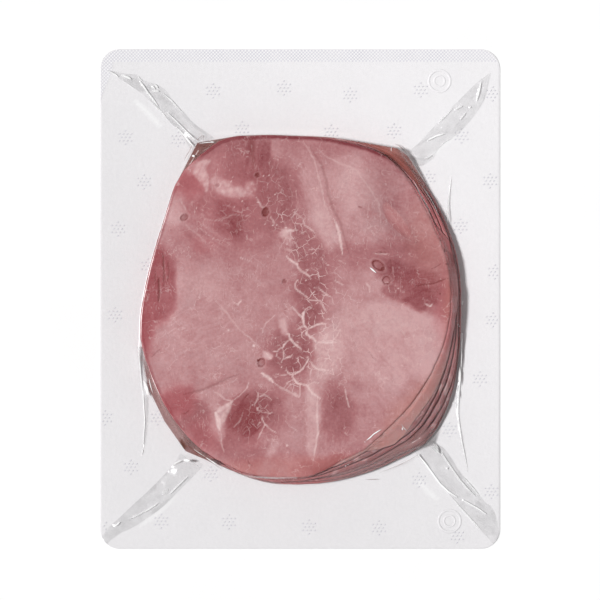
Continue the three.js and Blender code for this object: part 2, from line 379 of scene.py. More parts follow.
def new_piece(bm, name, materials, replaces=(), attributes=None, upward=False):
    """Finishes a piece: millimetres to metres, faces outwards, material, body and the nodes it stands for."""
    bmesh.ops.recalc_face_normals(bm, faces=bm.faces)
    if upward and sum(face.normal.z * face.calc_area() for face in bm.faces) < 0:
        bmesh.ops.reverse_faces(bm, faces=bm.faces)
    bmesh.ops.scale(bm, vec=(MM, MM, MM), verts=bm.verts)
    mesh = bpy.data.meshes.new(name)
    bm.to_mesh(mesh)
    bm.free()
    mesh.shade_smooth()
    for material in materials:
        mesh.materials.append(material)
    for key, values in (attributes or {}).items():
        layer = mesh.attributes.new(key, "FLOAT", "POINT")
        layer.data.foreach_set("value", np.asarray(values, np.float32))
    piece = bpy.data.objects.new(name, mesh)
    bpy.context.scene.collection.objects.link(piece)
    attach(piece, "root")
    if replaces:
        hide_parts(*replaces)
    return piece


def give_wall(piece, thickness):
    """Makes a sheet into a thin wall, on the inner side of its face."""
    wall = piece.modifiers.new("wall", "SOLIDIFY")
    wall.thickness = thickness
    wall.offset = -1
    wall.use_even_offset = False


# ---------------------------------------------------------------- material helpers


class Nodes:
    """A short way to write a material's nodes."""

    def __init__(self, name):
        self.material = bpy.data.materials.new(name)
        self.material.use_nodes = True
        self.tree = self.material.node_tree
        self.tree.nodes.clear()

    def add(self, kind, **settings):
        """A node with its settings; an input is given as its name, with _ for a space, or as in_ and its number."""
        node = self.tree.nodes.new(kind)
        for key, value in settings.items():
            if hasattr(node, key):
                setattr(node, key, value)
                continue
            socket = node.inputs[int(key[3:])] if key.startswith("in_") else node.inputs[key.replace("_", " ")]
            if isinstance(value, bpy.types.NodeSocket):
                self.tree.links.new(value, socket)
            else:
                socket.default_value = value
        return node

    def place(self):
        return self.add("ShaderNodeTexCoord").outputs["Object"]

    def attribute(self, name):
        return self.add("ShaderNodeAttribute", attribute_name=name).outputs["Fac"]

    def sum(self, operation, first, second=0.0, clamp=False):
        return self.add("ShaderNodeMath", operation=operation, use_clamp=clamp, in_0=first, in_1=second).outputs[0]

    def band(self, value, low, high, to_low=0.0, to_high=1.0):
        """A value's place between low and high, as an even slope between two results."""
        node = self.add("ShaderNodeMapRange", interpolation_type="SMOOTHSTEP", in_0=value)
        for index, number in enumerate((low, high, to_low, to_high), 1):
            node.inputs[index].default_value = number
        return node.outputs[0]

    def noise(self, size, detail=2.0, roughness=0.5, vector=None, stretch=None, turn=0.0):
        vector = vector or self.place()
        if stretch:
            mapping = self.add("ShaderNodeMapping", Vector=vector)
            mapping.inputs["Rotation"].default_value = (0, 0, math.radians(turn))
            mapping.inputs["Scale"].default_value = stretch
            vector = mapping.outputs[0]
        node = self.add("ShaderNodeTexNoise", Vector=vector, Scale=1 / (size * MM), Detail=detail, Roughness=roughness)
        return node.outputs["Fac"]

    def mix(self, share, first, second):
        node = self.add("ShaderNodeMix", data_type="RGBA")
        for index, value in ((0, share), (6, first), (7, second)):
            if isinstance(value, bpy.types.NodeSocket):
                self.tree.links.new(value, node.inputs[index])
            else:
                node.inputs[index].default_value = value if index == 0 else (*value, 1)
        return node.outputs[2]

    def ramp(self, share, *stops):
        node = self.add("ShaderNodeValToRGB", Fac=share)
        for stop, (position, colour) in enumerate(stops):
            element = node.color_ramp.elements[stop] if stop < 2 else node.color_ramp.elements.new(position)
            element.position = position
            element.color = (*colour, 1)
        return node.outputs[0]

    def finish(self, shader):
        output = self.add("ShaderNodeOutputMaterial")
        self.tree.links.new(shader, output.inputs["Surface"])
        return self.material


# ---------------------------------------------------------------- the meat's pattern

# Soft fields of lighter and darker meat on the top slice: x, y, half length, half width, turn in degrees,
# tone (0 is deep red muscle, 1 is pale muscle) and how soft its edge is.
FACE_TONE = 0.66
MEAT_FIELDS = (
    # left side and middle
    (-36, -12, 20, 17, 0, 0.76, 0.6),
    (-40, 8, 8, 9, 0, 0.85, 0.6),
    (-48, 21, 6, 6, 0, 0.73, 0.6),
    (-33, 31, 22, 15, 8, 0.56, 0.45),
    (-51, 35, 4, 6, 15, 0.86, 0.5),
    (-51, 18, 3.5, 6, -10, 0.5, 0.6),
    (-18, 23, 10, 6, 0, 0.55, 0.6),
    # upper right
    (40, 36, 17, 24, 32, 0.61, 0.5),
    (8, 61, 40, 7, -4, 0.55, 0.5),
    (50, 24, 6, 8, 10, 0.66, 0.6),
    (22, 44, 8.5, 13, 14, 0.92, 0.6),
    (26, 29, 8, 7, 0, 0.78, 0.6),
    (6, 42, 4.4, 14, 12, 0.84, 0.6),
    (10.5, 29, 4.4, 10, 18, 0.95, 0.5),
    (20, 17, 8, 5, -10, 0.5, 0.55),
    (36, 17, 15, 5, -4, 0.5, 0.6),
    # top left
    (-22, 56, 10.5, 10.5, 0, 0.25, 0.4),
    (-13, 51, 8, 5.5, 0, 0.3, 0.6),
    (-33, 57, 6, 5, 35, 0.42, 0.5),
    (-13.6, 54, 3.6, 9, 4, 0.2, 0.5),
    (-9.6, 59.6, 2.0, 5, 0, 0.66, 0.5),
    (-44.4, 46.8, 5.4, 5, 20, 0.4, 0.45),
    (-35, 40, 7, 4, -10, 0.42, 0.5),
    (-26, 32.6, 7.6, 9, 0, 0.25, 0.45),
    (-25.4, 30, 2.6, 3.8, 10, 0.04, 0.6),
    (-16, 31, 6, 5, 0, 0.43, 0.6),
    (-42, 52.6, 3.2, 3, 0, 0.72, 0.5),
    (-39.4, 50, 2.1, 3.6, 20, 0.95, 0.3),
    (-37.6, 46, 1.4, 2.4, 10, 0.9, 0.35),
    (-38.2, 54, 2.2, 1.5, 0, 0.9, 0.4),
    (-33, 53, 3.4, 3, -10, 0.6, 0.6),
    (-33.6, 47.6, 2.0, 1.3, 0, 0.72, 0.5),
    (-29.8, 45.0, 3.0, 2.8, -20, 0.9, 0.5),
    (-25, 42.7, 3.6, 1.9, -12, 0.86, 0.5),
    (-19.4, 43.6, 2.3, 3, 20, 0.84, 0.4),
    # the dark heart that the net runs through
    (-9.4, 40, 9, 13, 18, 0.3, 0.5),
    (3, 19, 7, 12, 25, 0.34, 0.55),
    (4.6, 4, 6.6, 9, 0, 0.28, 0.55),
    (4, -7, 4.4, 6, 0, 0.28, 0.55),
    (-4, -21.5, 9.6, 9.5, 0, 0.27, 0.4),
    (-6, -33, 7, 3, -25, 0.52, 0.5),
    (-6, 26.8, 2.2, 1.8, 0, 0.9, 0.5),
    (-4.6, 24, 1.3, 3, 20, 0.8, 0.6),
    (-6.4, -10.4, 1.3, 3.6, 6, 0.95, 0.5),
    (-4.8, -5.4, 1.2, 2.8, -10, 0.82, 0.5),
    (-12.6, -22.4, 1.6, 1.5, 0, 0.96, 0.4),
    # right side
    (54, 12, 5, 9, 5, 0.54, 0.6),
    (58, -2, 4.6, 13, 0, 0.42, 0.5),
    (27.5, 6, 7, 5.5, -20, 0.78, 0.6),
    (44, 16, 15, 6.4, -6, 0.42, 0.7),
    (40, 9.8, 8.4, 4.4, -8, 0.16, 0.5),
    (48, 5.4, 9, 5.2, 0, 0.18, 0.5),
    (47.4, -0.6, 7.2, 4.2, 12, 0.16, 0.2),
    (36, 2.6, 4, 2.6, -30, 0.36, 0.3),
    (52.2, -3.4, 2, 2, 0, 0.5, 0.5),
    (36, -10.8, 20, 9.4, -12, 1.0, 0.2),
    (40, -24, 19, 16, -25, 0.93, 0.5),
    (50, -20, 7, 12, -12, 0.97, 0.5),
    (20, -14, 8, 13, 0, 0.84, 0.5),
    (11, -18.5, 5.6, 7.5, 10, 0.98, 0.7),
    (9.6, -27, 4.6, 7, -20, 0.9, 0.8),
    (4.8, -29.6, 2.4, 3, 0, 0.8, 0.5),
    (29, -50, 8, 9, -30, 0.68, 0.6),
    (46, -39, 7, 8, -40, 0.68, 0.5),
    (24, -62, 9, 5, 20, 0.6, 0.6),
    # bottom
    (15.4, -44.6, 6.2, 11.5, 6, 0.32, 0.4),
    (22, -34, 6, 3, 0, 0.66, 0.6),
    (4.8, -48, 2.8, 16, 2, 0.92, 0.4),
    (-3, -50, 5, 13, 0, 0.7, 0.6),
    (12, -66.4, 12, 3.6, 6, 0.34, 0.5),
    (-12, -45, 6, 8, 0, 0.32, 0.55),
    (-21.4, -47.8, 7.6, 11.4, -32, 0.07, 0.4),
    (-29, -57, 6, 5, 0, 0.44, 0.6),
    (-20, -62.5, 7, 4, 0, 0.45, 0.6),
    (-11, -59.4, 1.6, 3.4, -15, 0.86, 0.6),
    (-33, -48.4, 2.7, 8, 14, 0.84, 0.4),
    (-42, -46, 6.4, 7, 0, 0.36, 0.5),
    (-39.6, -55, 5, 5, 0, 0.36, 0.5),
    (-49.6, -41, 7.4, 4.4, 24, 0.24, 0.4),
    (-34, -37.4, 8, 3, 12, 0.78, 0.5),
    # the drooping left edge
    (-56.8, 6, 7.6, 15.6, -3, 0.1, 0.16),
    (-61.4, -8, 4, 15, -6, 0.2, 0.5),
)

# Redder meat, in the same way, with a strength.
RED_FIELDS = (
    (-44, 46, 7, 7, 0, 0.9, 0.6),
    (-30, 42, 18, 18, 0, 0.35, 0.6),
    (-56.8, 5, 7.6, 17, -3, 0.75, 0.2),
    (-61, -10, 4, 14, -6, 0.8, 0.5),
    (-50, -42, 9, 7, 20, 0.95, 0.5),
    (-38, -55, 8, 8, 30, 0.6, 0.5),
    (58, -6, 5, 16, 0, 0.6, 0.5),
    (46, 4, 10, 8, 0, 0.25, 0.5),
    (0, -67, 40, 5, 3, 0.5, 0.5),
    (-38, 22, 6, 3, 0, 0.4, 0.5),
    (-22, -50, 9, 11, 0, 0.35, 0.5),
)

# Browner meat: the rims on the right.
BROWN_FIELDS = (
    (52, 24, 9, 16, 12, 0.2, 0.6),
    (62, -4, 5, 26, 0, 0.28, 0.6),
    (46, -47, 9, 22, -42, 0.34, 0.5),
    (-4, -68, 40, 5, 3, 0.22, 0.5),
)

# Deep, bloody muscle, in the same way.
DARK_FIELDS = (
    (-19.0, 58.6, 1.2, 5.8, 3, 0.42, 0.5),
    (-21.8, -47.0, 5.6, 8.4, -32, 0.28, 0.7),
    (45, 3.2, 9.4, 5.0, -24, 0.1, 0.5),
    (12, -68.2, 8.0, 2.6, 6, 0.2, 0.6),
    (-25.6, 30.4, 2.6, 4.0, 10, 0.18, 0.7),
)

# Whitish, mottled fat, in the same way, with a strength.
FAT_FIELDS = (
    (-39.4, 50, 2.0, 4.4, 20, 0.5, 0.35),
    (-37.6, 45.6, 1.3, 2.6, 10, 0.5, 0.35),
    (-37.4, 54.4, 2.6, 1.2, 12, 0.42, 0.4),
    (-33, 47.8, 2.2, 1.2, 0, 0.4, 0.4),
    (-30.2, 45, 3.2, 2.5, -25, 0.5, 0.3),
    (-25, 42.6, 3.8, 1.5, -12, 0.5, 0.3),
    (-19.4, 43.8, 2.2, 2.6, 20, 0.45, 0.35),
    (-5, 26.4, 1.5, 2.6, 20, 0.6, 0.5),
    (11, -19.5, 4.4, 7.4, 0, 0.42, 0.6),
    (9.4, -28, 4, 6, -10, 0.36, 0.7),
    (-7, -8.4, 1.3, 4, 6, 0.36, 0.5),
    (-12.8, -22.2, 1.5, 1.5, 0, 0.5, 0.4),
    (5, -46, 2.2, 12, 2, 0.26, 0.5),
    (10, 30, 2.4, 7, 18, 0.3, 0.6),
    (31, -9, 14, 4.6, -10, 0.24, 0.6),
)

# Pale seams and veins of fat and sinew: half width, strength and points.
FAT_LINES = (
    # the long seam and its side branch
    (0.3, 0.4, ((1.2, 62.8), (5, 57), (6.8, 51.2), (8.8, 44), (9.6, 38.4), (12, 33))),
    (0.55, 0.75, ((13.2, 32), (14.4, 29.6), (15.2, 27.6), (15.6, 25.4), (16.4, 22), (16.9, 18))),
    (0.35, 0.3, ((6.6, 60.4), (11.2, 56.3), (17.6, 53.5), (22.6, 51.2), (25.4, 47.6), (31.4, 38.4), (32.7, 27.4))),
    # the left face
    (0.3, 0.4, ((-34.6, 0.7), (-28.7, -6.1), (-24.4, -11.9), (-19.5, -15.8), (-14.7, -20.6))),
    (0.3, 0.35, ((-38.2, 31.5), (-31.3, 31.5), (-26.7, 33.8), (-19.8, 32.9))),
    (0.3, 0.35, ((-48.2, 40.2), (-45, 34.7))),
    (0.25, 0.3, ((-46, 30), (-41, 26), (-37, 22))),
    (0.4, 0.6, ((-17.6, 40.6), (-16, 37.4), (-13.8, 35.4))),
    (0.35, 0.55, ((-12, 33.6), (-10.4, 30.8), (-10, 28.4))),
    (0.25, 0.5, ((-10, -6.4), (-12, -8.4), (-13.6, -10), (-14.8, -12), (-14.8, -13.6))),
    (0.2, 0.5, ((-24.4, 16.8), (-19.2, 14.8))),
    (0.3, 0.6, ((-26.8, -1.2), (-24.8, -2), (-23.6, -0.4))),
    (0.4, 0.7, ((-28.6, -12.2), (-28.2, -12.8))),
    (0.5, 1.0, ((-18.6, -18), (-18.2, -18.8))),
    # the net, above
    (0.28, 0.55, ((-0.4, 36.4), (-1.6, 34.6), (-2.8, 33.2), (-4, 31.6))),
    (0.3, 0.6, (
        (-3.6, 35.6), (-1.6, 34.4), (0, 32.8), (1.2, 32), (1.6, 29.6), (3.2, 28.4), (4.8, 27.2), (6, 26), (5.6, 23.6),
    )),
    (0.6, 0.6, ((-6.8, 27.2), (-4, 27.2), (-0.8, 27.6))),
    (0.22, 0.4, ((0, 26.8), (1.6, 25.6))),
    (0.35, 0.6, ((3.2, 19.8), (5.2, 19.6))),
    (0.6, 0.4, ((-6, 20), (-3.6, 19.6))),
    (0.42, 0.8, (
        (-5.6, 18), (-4.4, 16), (-2.8, 14.8), (-1.2, 14), (-0.4, 12.4), (0.4, 11.4), (2, 10.4), (3.6, 9.2), (4.4, 8),
    )),
    (0.33, 0.75, ((-0.8, 8), (-2, 6.4), (-2, 4.8), (-0.8, 3.2), (1.2, 2), (2.4, 0.8), (3.6, -0.4))),
    (0.3, 0.75, ((5.6, 4.8), (7.6, 4.8), (8.2, 3.6), (9.6, 2.4), (12, 0.8))),
    (0.3, 0.65, ((14, 7.2), (15.6, 6.4), (17.2, 5.6))),
    (0.22, 0.5, ((8, 17.2), (9.2, 15.6), (10.8, 13.6), (12.8, 13.6))),
    (0.22, 0.5, ((15.2, 16), (16.8, 14.8), (18.4, 13.6))),
    (0.22, 0.5, ((4, 12.8), (6.4, 11.2))),
    (0.3, 0.7, ((2, 1.6), (3.2, 0), (4.8, -0.6), (8.4, -0.6))),
    (0.3, 0.7, ((8, -0.4), (8.8, -2), (9.2, -3.2), (10.8, -5.6))),
    # the net, below
    (0.58, 0.9, ((1.8, -4.2), (1.2, -6), (1.4, -8.4), (1.6, -10.8), (3.2, -12))),
    (0.5, 0.9, ((3, -12), (2.6, -14), (4, -15.2), (5.6, -16), (6.4, -17.2))),
    (0.45, 0.9, ((6.4, -17.2), (10, -17.2), (12.4, -17.2), (14.8, -17.2))),
    (0.28, 0.7, ((0.8, -3.2), (2, -4), (3.6, -3.2), (5.6, -4))),
    (0.38, 0.8, ((-2.8, -3.2), (-1.6, -4.8), (-0.4, -6.2), (1.2, -7.6))),
    (0.28, 0.6, ((1.6, -11.2), (0.4, -11.2), (-0.8, -12))),
    (0.38, 0.85, ((2.8, -12), (4.4, -11.4), (6.4, -10.4), (8.8, -9.6), (10.8, -10))),
    (0.3, 0.7, ((12.4, -17.2), (13.6, -16), (14.8, -14.4), (16, -12.4))),
    (0.28, 0.7, ((6.8, -17.6), (6, -19.2), (6, -20.4))),
    (0.3, 0.7, ((11.2, -13.6), (10.4, -15.6), (10, -16.8))),
    (0.4, 0.85, ((-6, -14), (-4.4, -14), (-4, -15.6), (-2.8, -17.2), (-1.2, -18.6), (0.4, -20), (0.4, -21.2))),
    (0.34, 0.8, ((-4, -16), (-5.6, -17.2), (-6.4, -18.8), (-6.8, -19.6), (-8.4, -20), (-9.2, -20.8), (-11.2, -20.8))),
    (0.22, 0.6, ((-2.4, -17.4), (-0.4, -16.4))),
    (0.22, 0.6, ((-1.6, -18.4), (-3.2, -18.8))),
    (0.32, 0.75, ((-6.8, -19.6), (-6.4, -21.6), (-6.8, -23.6), (-7.2, -24.8), (-7.6, -26))),
    (0.28, 0.7, ((-6.8, -24), (-5.2, -23.6), (-3.6, -23), (-2.8, -21.8))),
    (0.22, 0.6, ((-9.2, -20.8), (-9.4, -22.8), (-7.6, -24.2))),
    (0.45, 0.8, ((-13.6, -21.2), (-12.8, -22.8), (-11.2, -24))),
    (0.36, 0.85, (
        (2, -22), (3.6, -24), (2.4, -25.6), (1.2, -27.2), (0, -28.6), (-1.6, -29.6), (-3.2, -30.4), (-4.8, -29.6),
        (-5.6, -28.4),
    )),
    (0.36, 0.85, ((3.6, -24), (4.4, -25.2), (5.6, -27), (7.6, -28), (10, -28.4), (12.8, -28.8))),
    (0.22, 0.6, ((5.6, -27.2), (4.4, -28.8), (4, -30.8))),
    (0.42, 0.9, (
        (-3.2, -30.4), (-2.4, -32), (-0.8, -33.6), (1.2, -34), (2.8, -34.4), (3.6, -35.6), (4.8, -37.6), (6.8, -38.8),
        (8, -39.8),
    )),
    (0.28, 0.7, ((2.8, -34.4), (4.4, -33.6), (6, -33.2), (8, -33.6))),
    (0.2, 0.6, ((-4.8, -30), (-7.2, -30.4), (-9.6, -30))),
    (0.2, 0.6, ((-2.4, -32.4), (-4.4, -33.2), (-6.4, -34))),
    (0.25, 0.6, ((0, -34), (0.2, -36.4), (0, -39.2))),
    (0.75, 0.95, ((-15.2, -29.6), (-13.6, -30.8), (-12, -32), (-10.8, -33.2))),
    (0.32, 0.65, ((-11, -33), (-8, -35.2), (-5.6, -36.4), (-2.8, -38), (0, -39.6))),
    (0.22, 0.5, ((-5.6, -36), (-4.4, -34.8), (-3.2, -34.4))),
    (0.6, 0.5, ((-2.8, -37.6), (-0.4, -39))),
    (0.25, 0.5, ((4.8, -37.6), (4.4, -39.2), (4, -41.2))),
    (0.45, 0.6, ((7, -39), (6.6, -42.9), (6.9, -47.8), (7.2, -53.6), (6.2, -59.4), (5.4, -63.3))),
    (0.3, 0.6, ((17.8, -35.2), (18.8, -40), (19.8, -43.9))),
    # the dark muscle at the lower left
    (0.28, 0.6, ((-16.8, -37.6), (-16.8, -39.2), (-17.8, -41.6), (-18, -43.2))),
    (0.42, 0.8, ((-17.4, -43.2), (-16.8, -44.4), (-15.2, -45.2))),
    (0.25, 0.6, ((-16.8, -39.2), (-14, -38), (-11.2, -40))),
    (0.22, 0.6, ((-15.2, -45.2), (-12, -45.6), (-10.4, -44.8))),
    (0.28, 0.65, ((-15.2, -45.2), (-15, -48), (-14, -50), (-11.6, -52.2), (-9.6, -53.2))),
    (0.28, 0.6, ((-14, -50), (-15.2, -52.8), (-16.4, -54.8), (-17.4, -56.4))),
    (0.25, 0.6, ((-15.8, -49), (-17.2, -50.8))),
    (0.22, 0.5, ((-22.4, -44.4), (-23.2, -46.8), (-24.4, -49.2), (-26, -51.2))),
    (0.2, 0.25, ((-20, -51.2), (-22.8, -54))),
    (0.3, 0.6, ((-16, -42.8), (-17.2, -44))),
    (0.35, 0.5, ((-19, -42), (-19, -42.6))),
    (0.3, 0.55, ((-20.4, -33.2), (-21, -35.6), (-22.8, -37.2), (-24.4, -38.8), (-26.8, -40.4))),
    (0.35, 0.5, ((-34.8, -36.8), (-32, -38.4), (-29.6, -40), (-26.8, -40.8))),
    (0.9, 0.75, ((-27.2, -41), (-29.6, -42.8), (-33.6, -45.4))),
    (1.0, 0.9, ((-33.4, -45.2), (-32.6, -48.4), (-32, -52.4))),
    (1.2, 0.5, ((-27.6, -41.6), (-30, -46), (-31.6, -50))),
    (0.3, 0.35, ((-32, -52), (-31.2, -57.6), (-30.4, -61.2))),
    (0.22, 0.4, ((-6, -48.4), (-4, -50.8), (-1.2, -52.8))),
    (0.25, 0.35, ((-35.2, -34.8), (-31.2, -34.4), (-26, -32.4), (-24.4, -31.2))),
    (0.3, 0.35, ((-31.2, -32.4), (-27.6, -31.6))),
    # right side
    (0.35, 0.7, ((50, -1.8), (52, -2.8), (52.8, -2))),
    (0.25, 0.5, ((39, 4.4), (39.6, 4))),
    (0.3, 0.5, ((29.1, 18.2), (35.5, 17.8))),
    (0.35, 0.5, ((26, 6.4), (27.8, 4.4), (27.8, 2.6))),
    (0.25, 0.35, ((40, -11.6), (42.4, -15.6))),
)

# Dark red creases and cracks, in the same way, with a depth after the strength.
CREASES = (
    (0.5, 0.28, 0.02, (
        (4, 60.5), (8.4, 54), (10.4, 47.6), (11.2, 42), (13, 36.4), (16.2, 30.2), (17.8, 24), (19.6, 18),
    )),
    (0.45, 0.35, 0.04, ((-46.7, -38.1), (-38.9, -36.2), (-32.1, -33.2), (-26.8, -30.8), (-24.4, -30.1))),
    (0.34, 1.0, 0.3, ((-56.4, 9), (-56.1, 3), (-56.3, -1.6))),
    (0.26, 0.95, 0.2, ((-54.6, 18.2), (-54.2, 10.4), (-54.3, 5.3))),
    (0.2, 0.7, 0.15, ((-52.6, 15.6), (-52.2, 11), (-52.8, 6.4))),
    (0.2, 0.6, 0.15, ((-57.8, 12), (-57.6, 6))),
    (0.16, 0.55, 0.2, ((52.4, 12), (54.6, 12.9), (56.6, 14.3))),
    (0.24, 0.8, 0.25, ((57.8, 14), (59.6, 13.9), (60.2, 13.9))),
    (0.24, 0.65, 0.2, ((46, 5.3), (53.4, 6.2), (55.4, 7), (57.4, 7.8), (59.4, 8.1))),
    (0.16, 0.45, 0.15, ((48.4, 2.9), (52, 2.8), (56.2, 2.8))),
    (0.3, 0.75, 0.3, ((55.8, 2.4), (56.2, 1.8))),
    (0.18, 0.6, 0.15, ((22.8, 37.2), (24.9, 36.1))),
    (0.2, 0.55, 0.15, ((29.6, 18.8), (32.4, 18.6), (35.2, 18.7))),
    (0.36, 0.8, 0.3, ((32.2, 18.6), (32.8, 18.6))),
    (0.16, 0.4, 0.12, ((45.6, 22.3), (47, 22.8))),
    (0.2, 0.45, 0.12, ((36.2, 16.4), (36.4, 13.6), (36.4, 11), (35.2, 9.2))),
    (0.14, 0.5, 0.12, ((27.5, -21.1), (29, -23.2), (30.9, -25))),
    (0.2, 0.85, 0.2, ((-22.2, -39.6), (-20.4, -37.6))),
    (0.2, 0.55, 0.15, ((-47.2, -45.8), (-45.6, -45.6), (-44.2, -44.4))),
    (0.18, 0.5, 0.1, ((-20.8, -64), (-20.4, -65.4), (-19.4, -66.2), (-18.6, -67.4))),
    (0.2, 0.4, 0.1, ((-59.2, -23.2), (-56, -20))),
    (0.14, 0.35, 0.1, ((13.4, 27.6), (16, 26.4))),
)

# Cut vessels: x, y, half length, half width, turn, depth, how dark its floor is and how dark its rim is.
VESSELS = (
    (-16.9, 49.4, 1.05, 0.95, 0, 0.7, 0.8, 0.9),
    (-13.8, 34.7, 1.95, 1.4, 78, 1.0, 0.75, 1.0),
    (-46.2, 32.6, 1.75, 1.3, 28, 0.6, 0.4, 0.8),
    (-6.3, 7.0, 0.95, 0.9, 0, 0.5, 0.45, 0.6),
    (31.2, 13.4, 2.9, 1.8, -36, 0.7, 0.18, 1.0),
    (33.0, 12.1, 0.9, 0.7, 30, 0.9, 0.8, 0.9),
    (34.5, 7.4, 1.75, 1.7, 0, 0.5, 0.05, 0.9),
    (-15.4, -25.4, 1.9, 1.5, 72, 0.8, 0.2, 0.8),
    (-16.4, -24.4, 0.7, 0.5, 40, 0.9, 0.95, 0.9),
    (-32.9, 45.4, 0.9, 0.8, 0, 0.3, 0.3, 0.4),
    (62.2, -5.8, 0.9, 0.9, 0, 0.4, 0.9, 0.7),
)

# The way the muscle's fibres run: x, y, reach, turn in degrees and strength.
GRAIN = (
    (-34, 32, 16, -42, 0.14),
    (-38, -14, 20, 28, 0.09),
    (34, 36, 22, -24, 0.1),
    (36, -26, 22, -48, 0.1),
    (-20, -48, 12, 52, 0.12),
    (14, -48, 12, 84, 0.11),
    (46, 6, 12, 8, 0.12),
    (-16, 56, 10, 78, 0.13),
    (4, 44, 12, -66, 0.1),
)

# Where fine threads of fat cross the meat: half width, strength and points.
FAT_NET = (
    (8, 0.55, ((-12, 44), (-7, 36))),
    (8, 0.8, ((-6, 34), (1, 22), (6, 8))),
    (9, 0.95, ((6, 6), (8, -6), (0, -18), (-2, -30))),
    (7, 1.0, ((10, -8), (11, -28))),
    (6, 0.5, ((16, 8), (18, -6))),
    (11, 0.22, ((-22, 12), (-28, -4), (-16, -14))),
    (7, 0.5, ((-14, -40), (-18, -52))),
    (5, 0.35, ((-38, 30), (-20, 34))),
    (6, 0.3, ((4, -40), (4, -56))),
)

# Painted highlights: wet glints on the meat, drawn as small white specks: x, y and radius.
GLINT_SPECKS = (
    (-16.8, 38.6, 0.45), (-13.8, 30, 0.4), (-11, 29.4, 0.42), (-9.2, 29.4, 0.3), (-2.6, 27, 0.42), (2.6, 11.8, 0.42),
    (-5.6, 28.4, 0.6), (-42, 34.8, 0.4), (-41.4, 36.2, 0.35), (-23, 39.1, 0.3), (-14.6, 49.2, 0.35),
    (-12.4, 49.4, 0.3), (-28.4, -12.4, 0.3), (39.2, 4.2, 0.45), (-9.6, -15.6, 0.35), (-9.6, -18.8, 0.35),
    (-7.4, -27.2, 0.35), (18, 14, 0.4), (-5.2, -58.4, 0.6), (-27, 48.6, 0.3), (-27.4, 47, 0.3), (-5.2, 22, 0.35),
    (-10, 41.6, 0.3), (-3, 24.2, 0.3), (-1.6, 24.2, 0.3), (2.4, 7.4, 0.3), (27, 32.6, 0.25), (-19, -42.2, 0.35),
    (-26, 36.6, 0.3), (-21.2, 36.2, 0.3),
)


def ellipse_distance(points, x, y, half_length, half_width, degrees):
    """How far out points lie on an ellipse: 1 is its edge."""
    angle = math.radians(degrees)
    away = points - (x, y)
    along = away[:, 0] * math.cos(angle) + away[:, 1] * math.sin(angle)
    across = away[:, 1] * math.cos(angle) - away[:, 0] * math.sin(angle)
    return np.hypot(along / half_length, across / half_width)


def warped(points, size, amount, seed):
    """Points pushed about a little, so that what is drawn from them looks grown."""
    push = np.column_stack([noise_at(points, size, seed), noise_at(points, size, seed + 1)])
    return points + amount * push


def field_strength(points, fields):
    """How strongly some soft ellipses mark each point."""
    result = np.zeros(len(points))
    for *ellipse, strength, softness in fields:
        share = smooth(1 + softness, 1 - softness, ellipse_distance(points, *ellipse))
        result = np.maximum(result, strength * share)
    return result


def line_strength(points, lines, column=1, widen=1.0):
    """How strongly the nearest of some tapering lines marks each point; column picks the strength or the depth."""
    result = np.zeros(len(points))
    for line in lines:
        half_width, strength, way = line[0] * widen, line[column], np.array(line[-1])
        margin = 3 * half_width
        near = np.flatnonzero(((points > way.min(0) - margin) & (points < way.max(0) + margin)).all(1))
        if not len(near):
            continue
        distance, share = along_line(points[near], way)
        taper = 0.4 + 0.6 * smooth(0, 0.25, share) * smooth(1, 0.75, share)
        mark = strength * smooth(1.6, 0.4, distance / (half_width * taper))
        result[near] = np.maximum(result[near], mark)
    return result


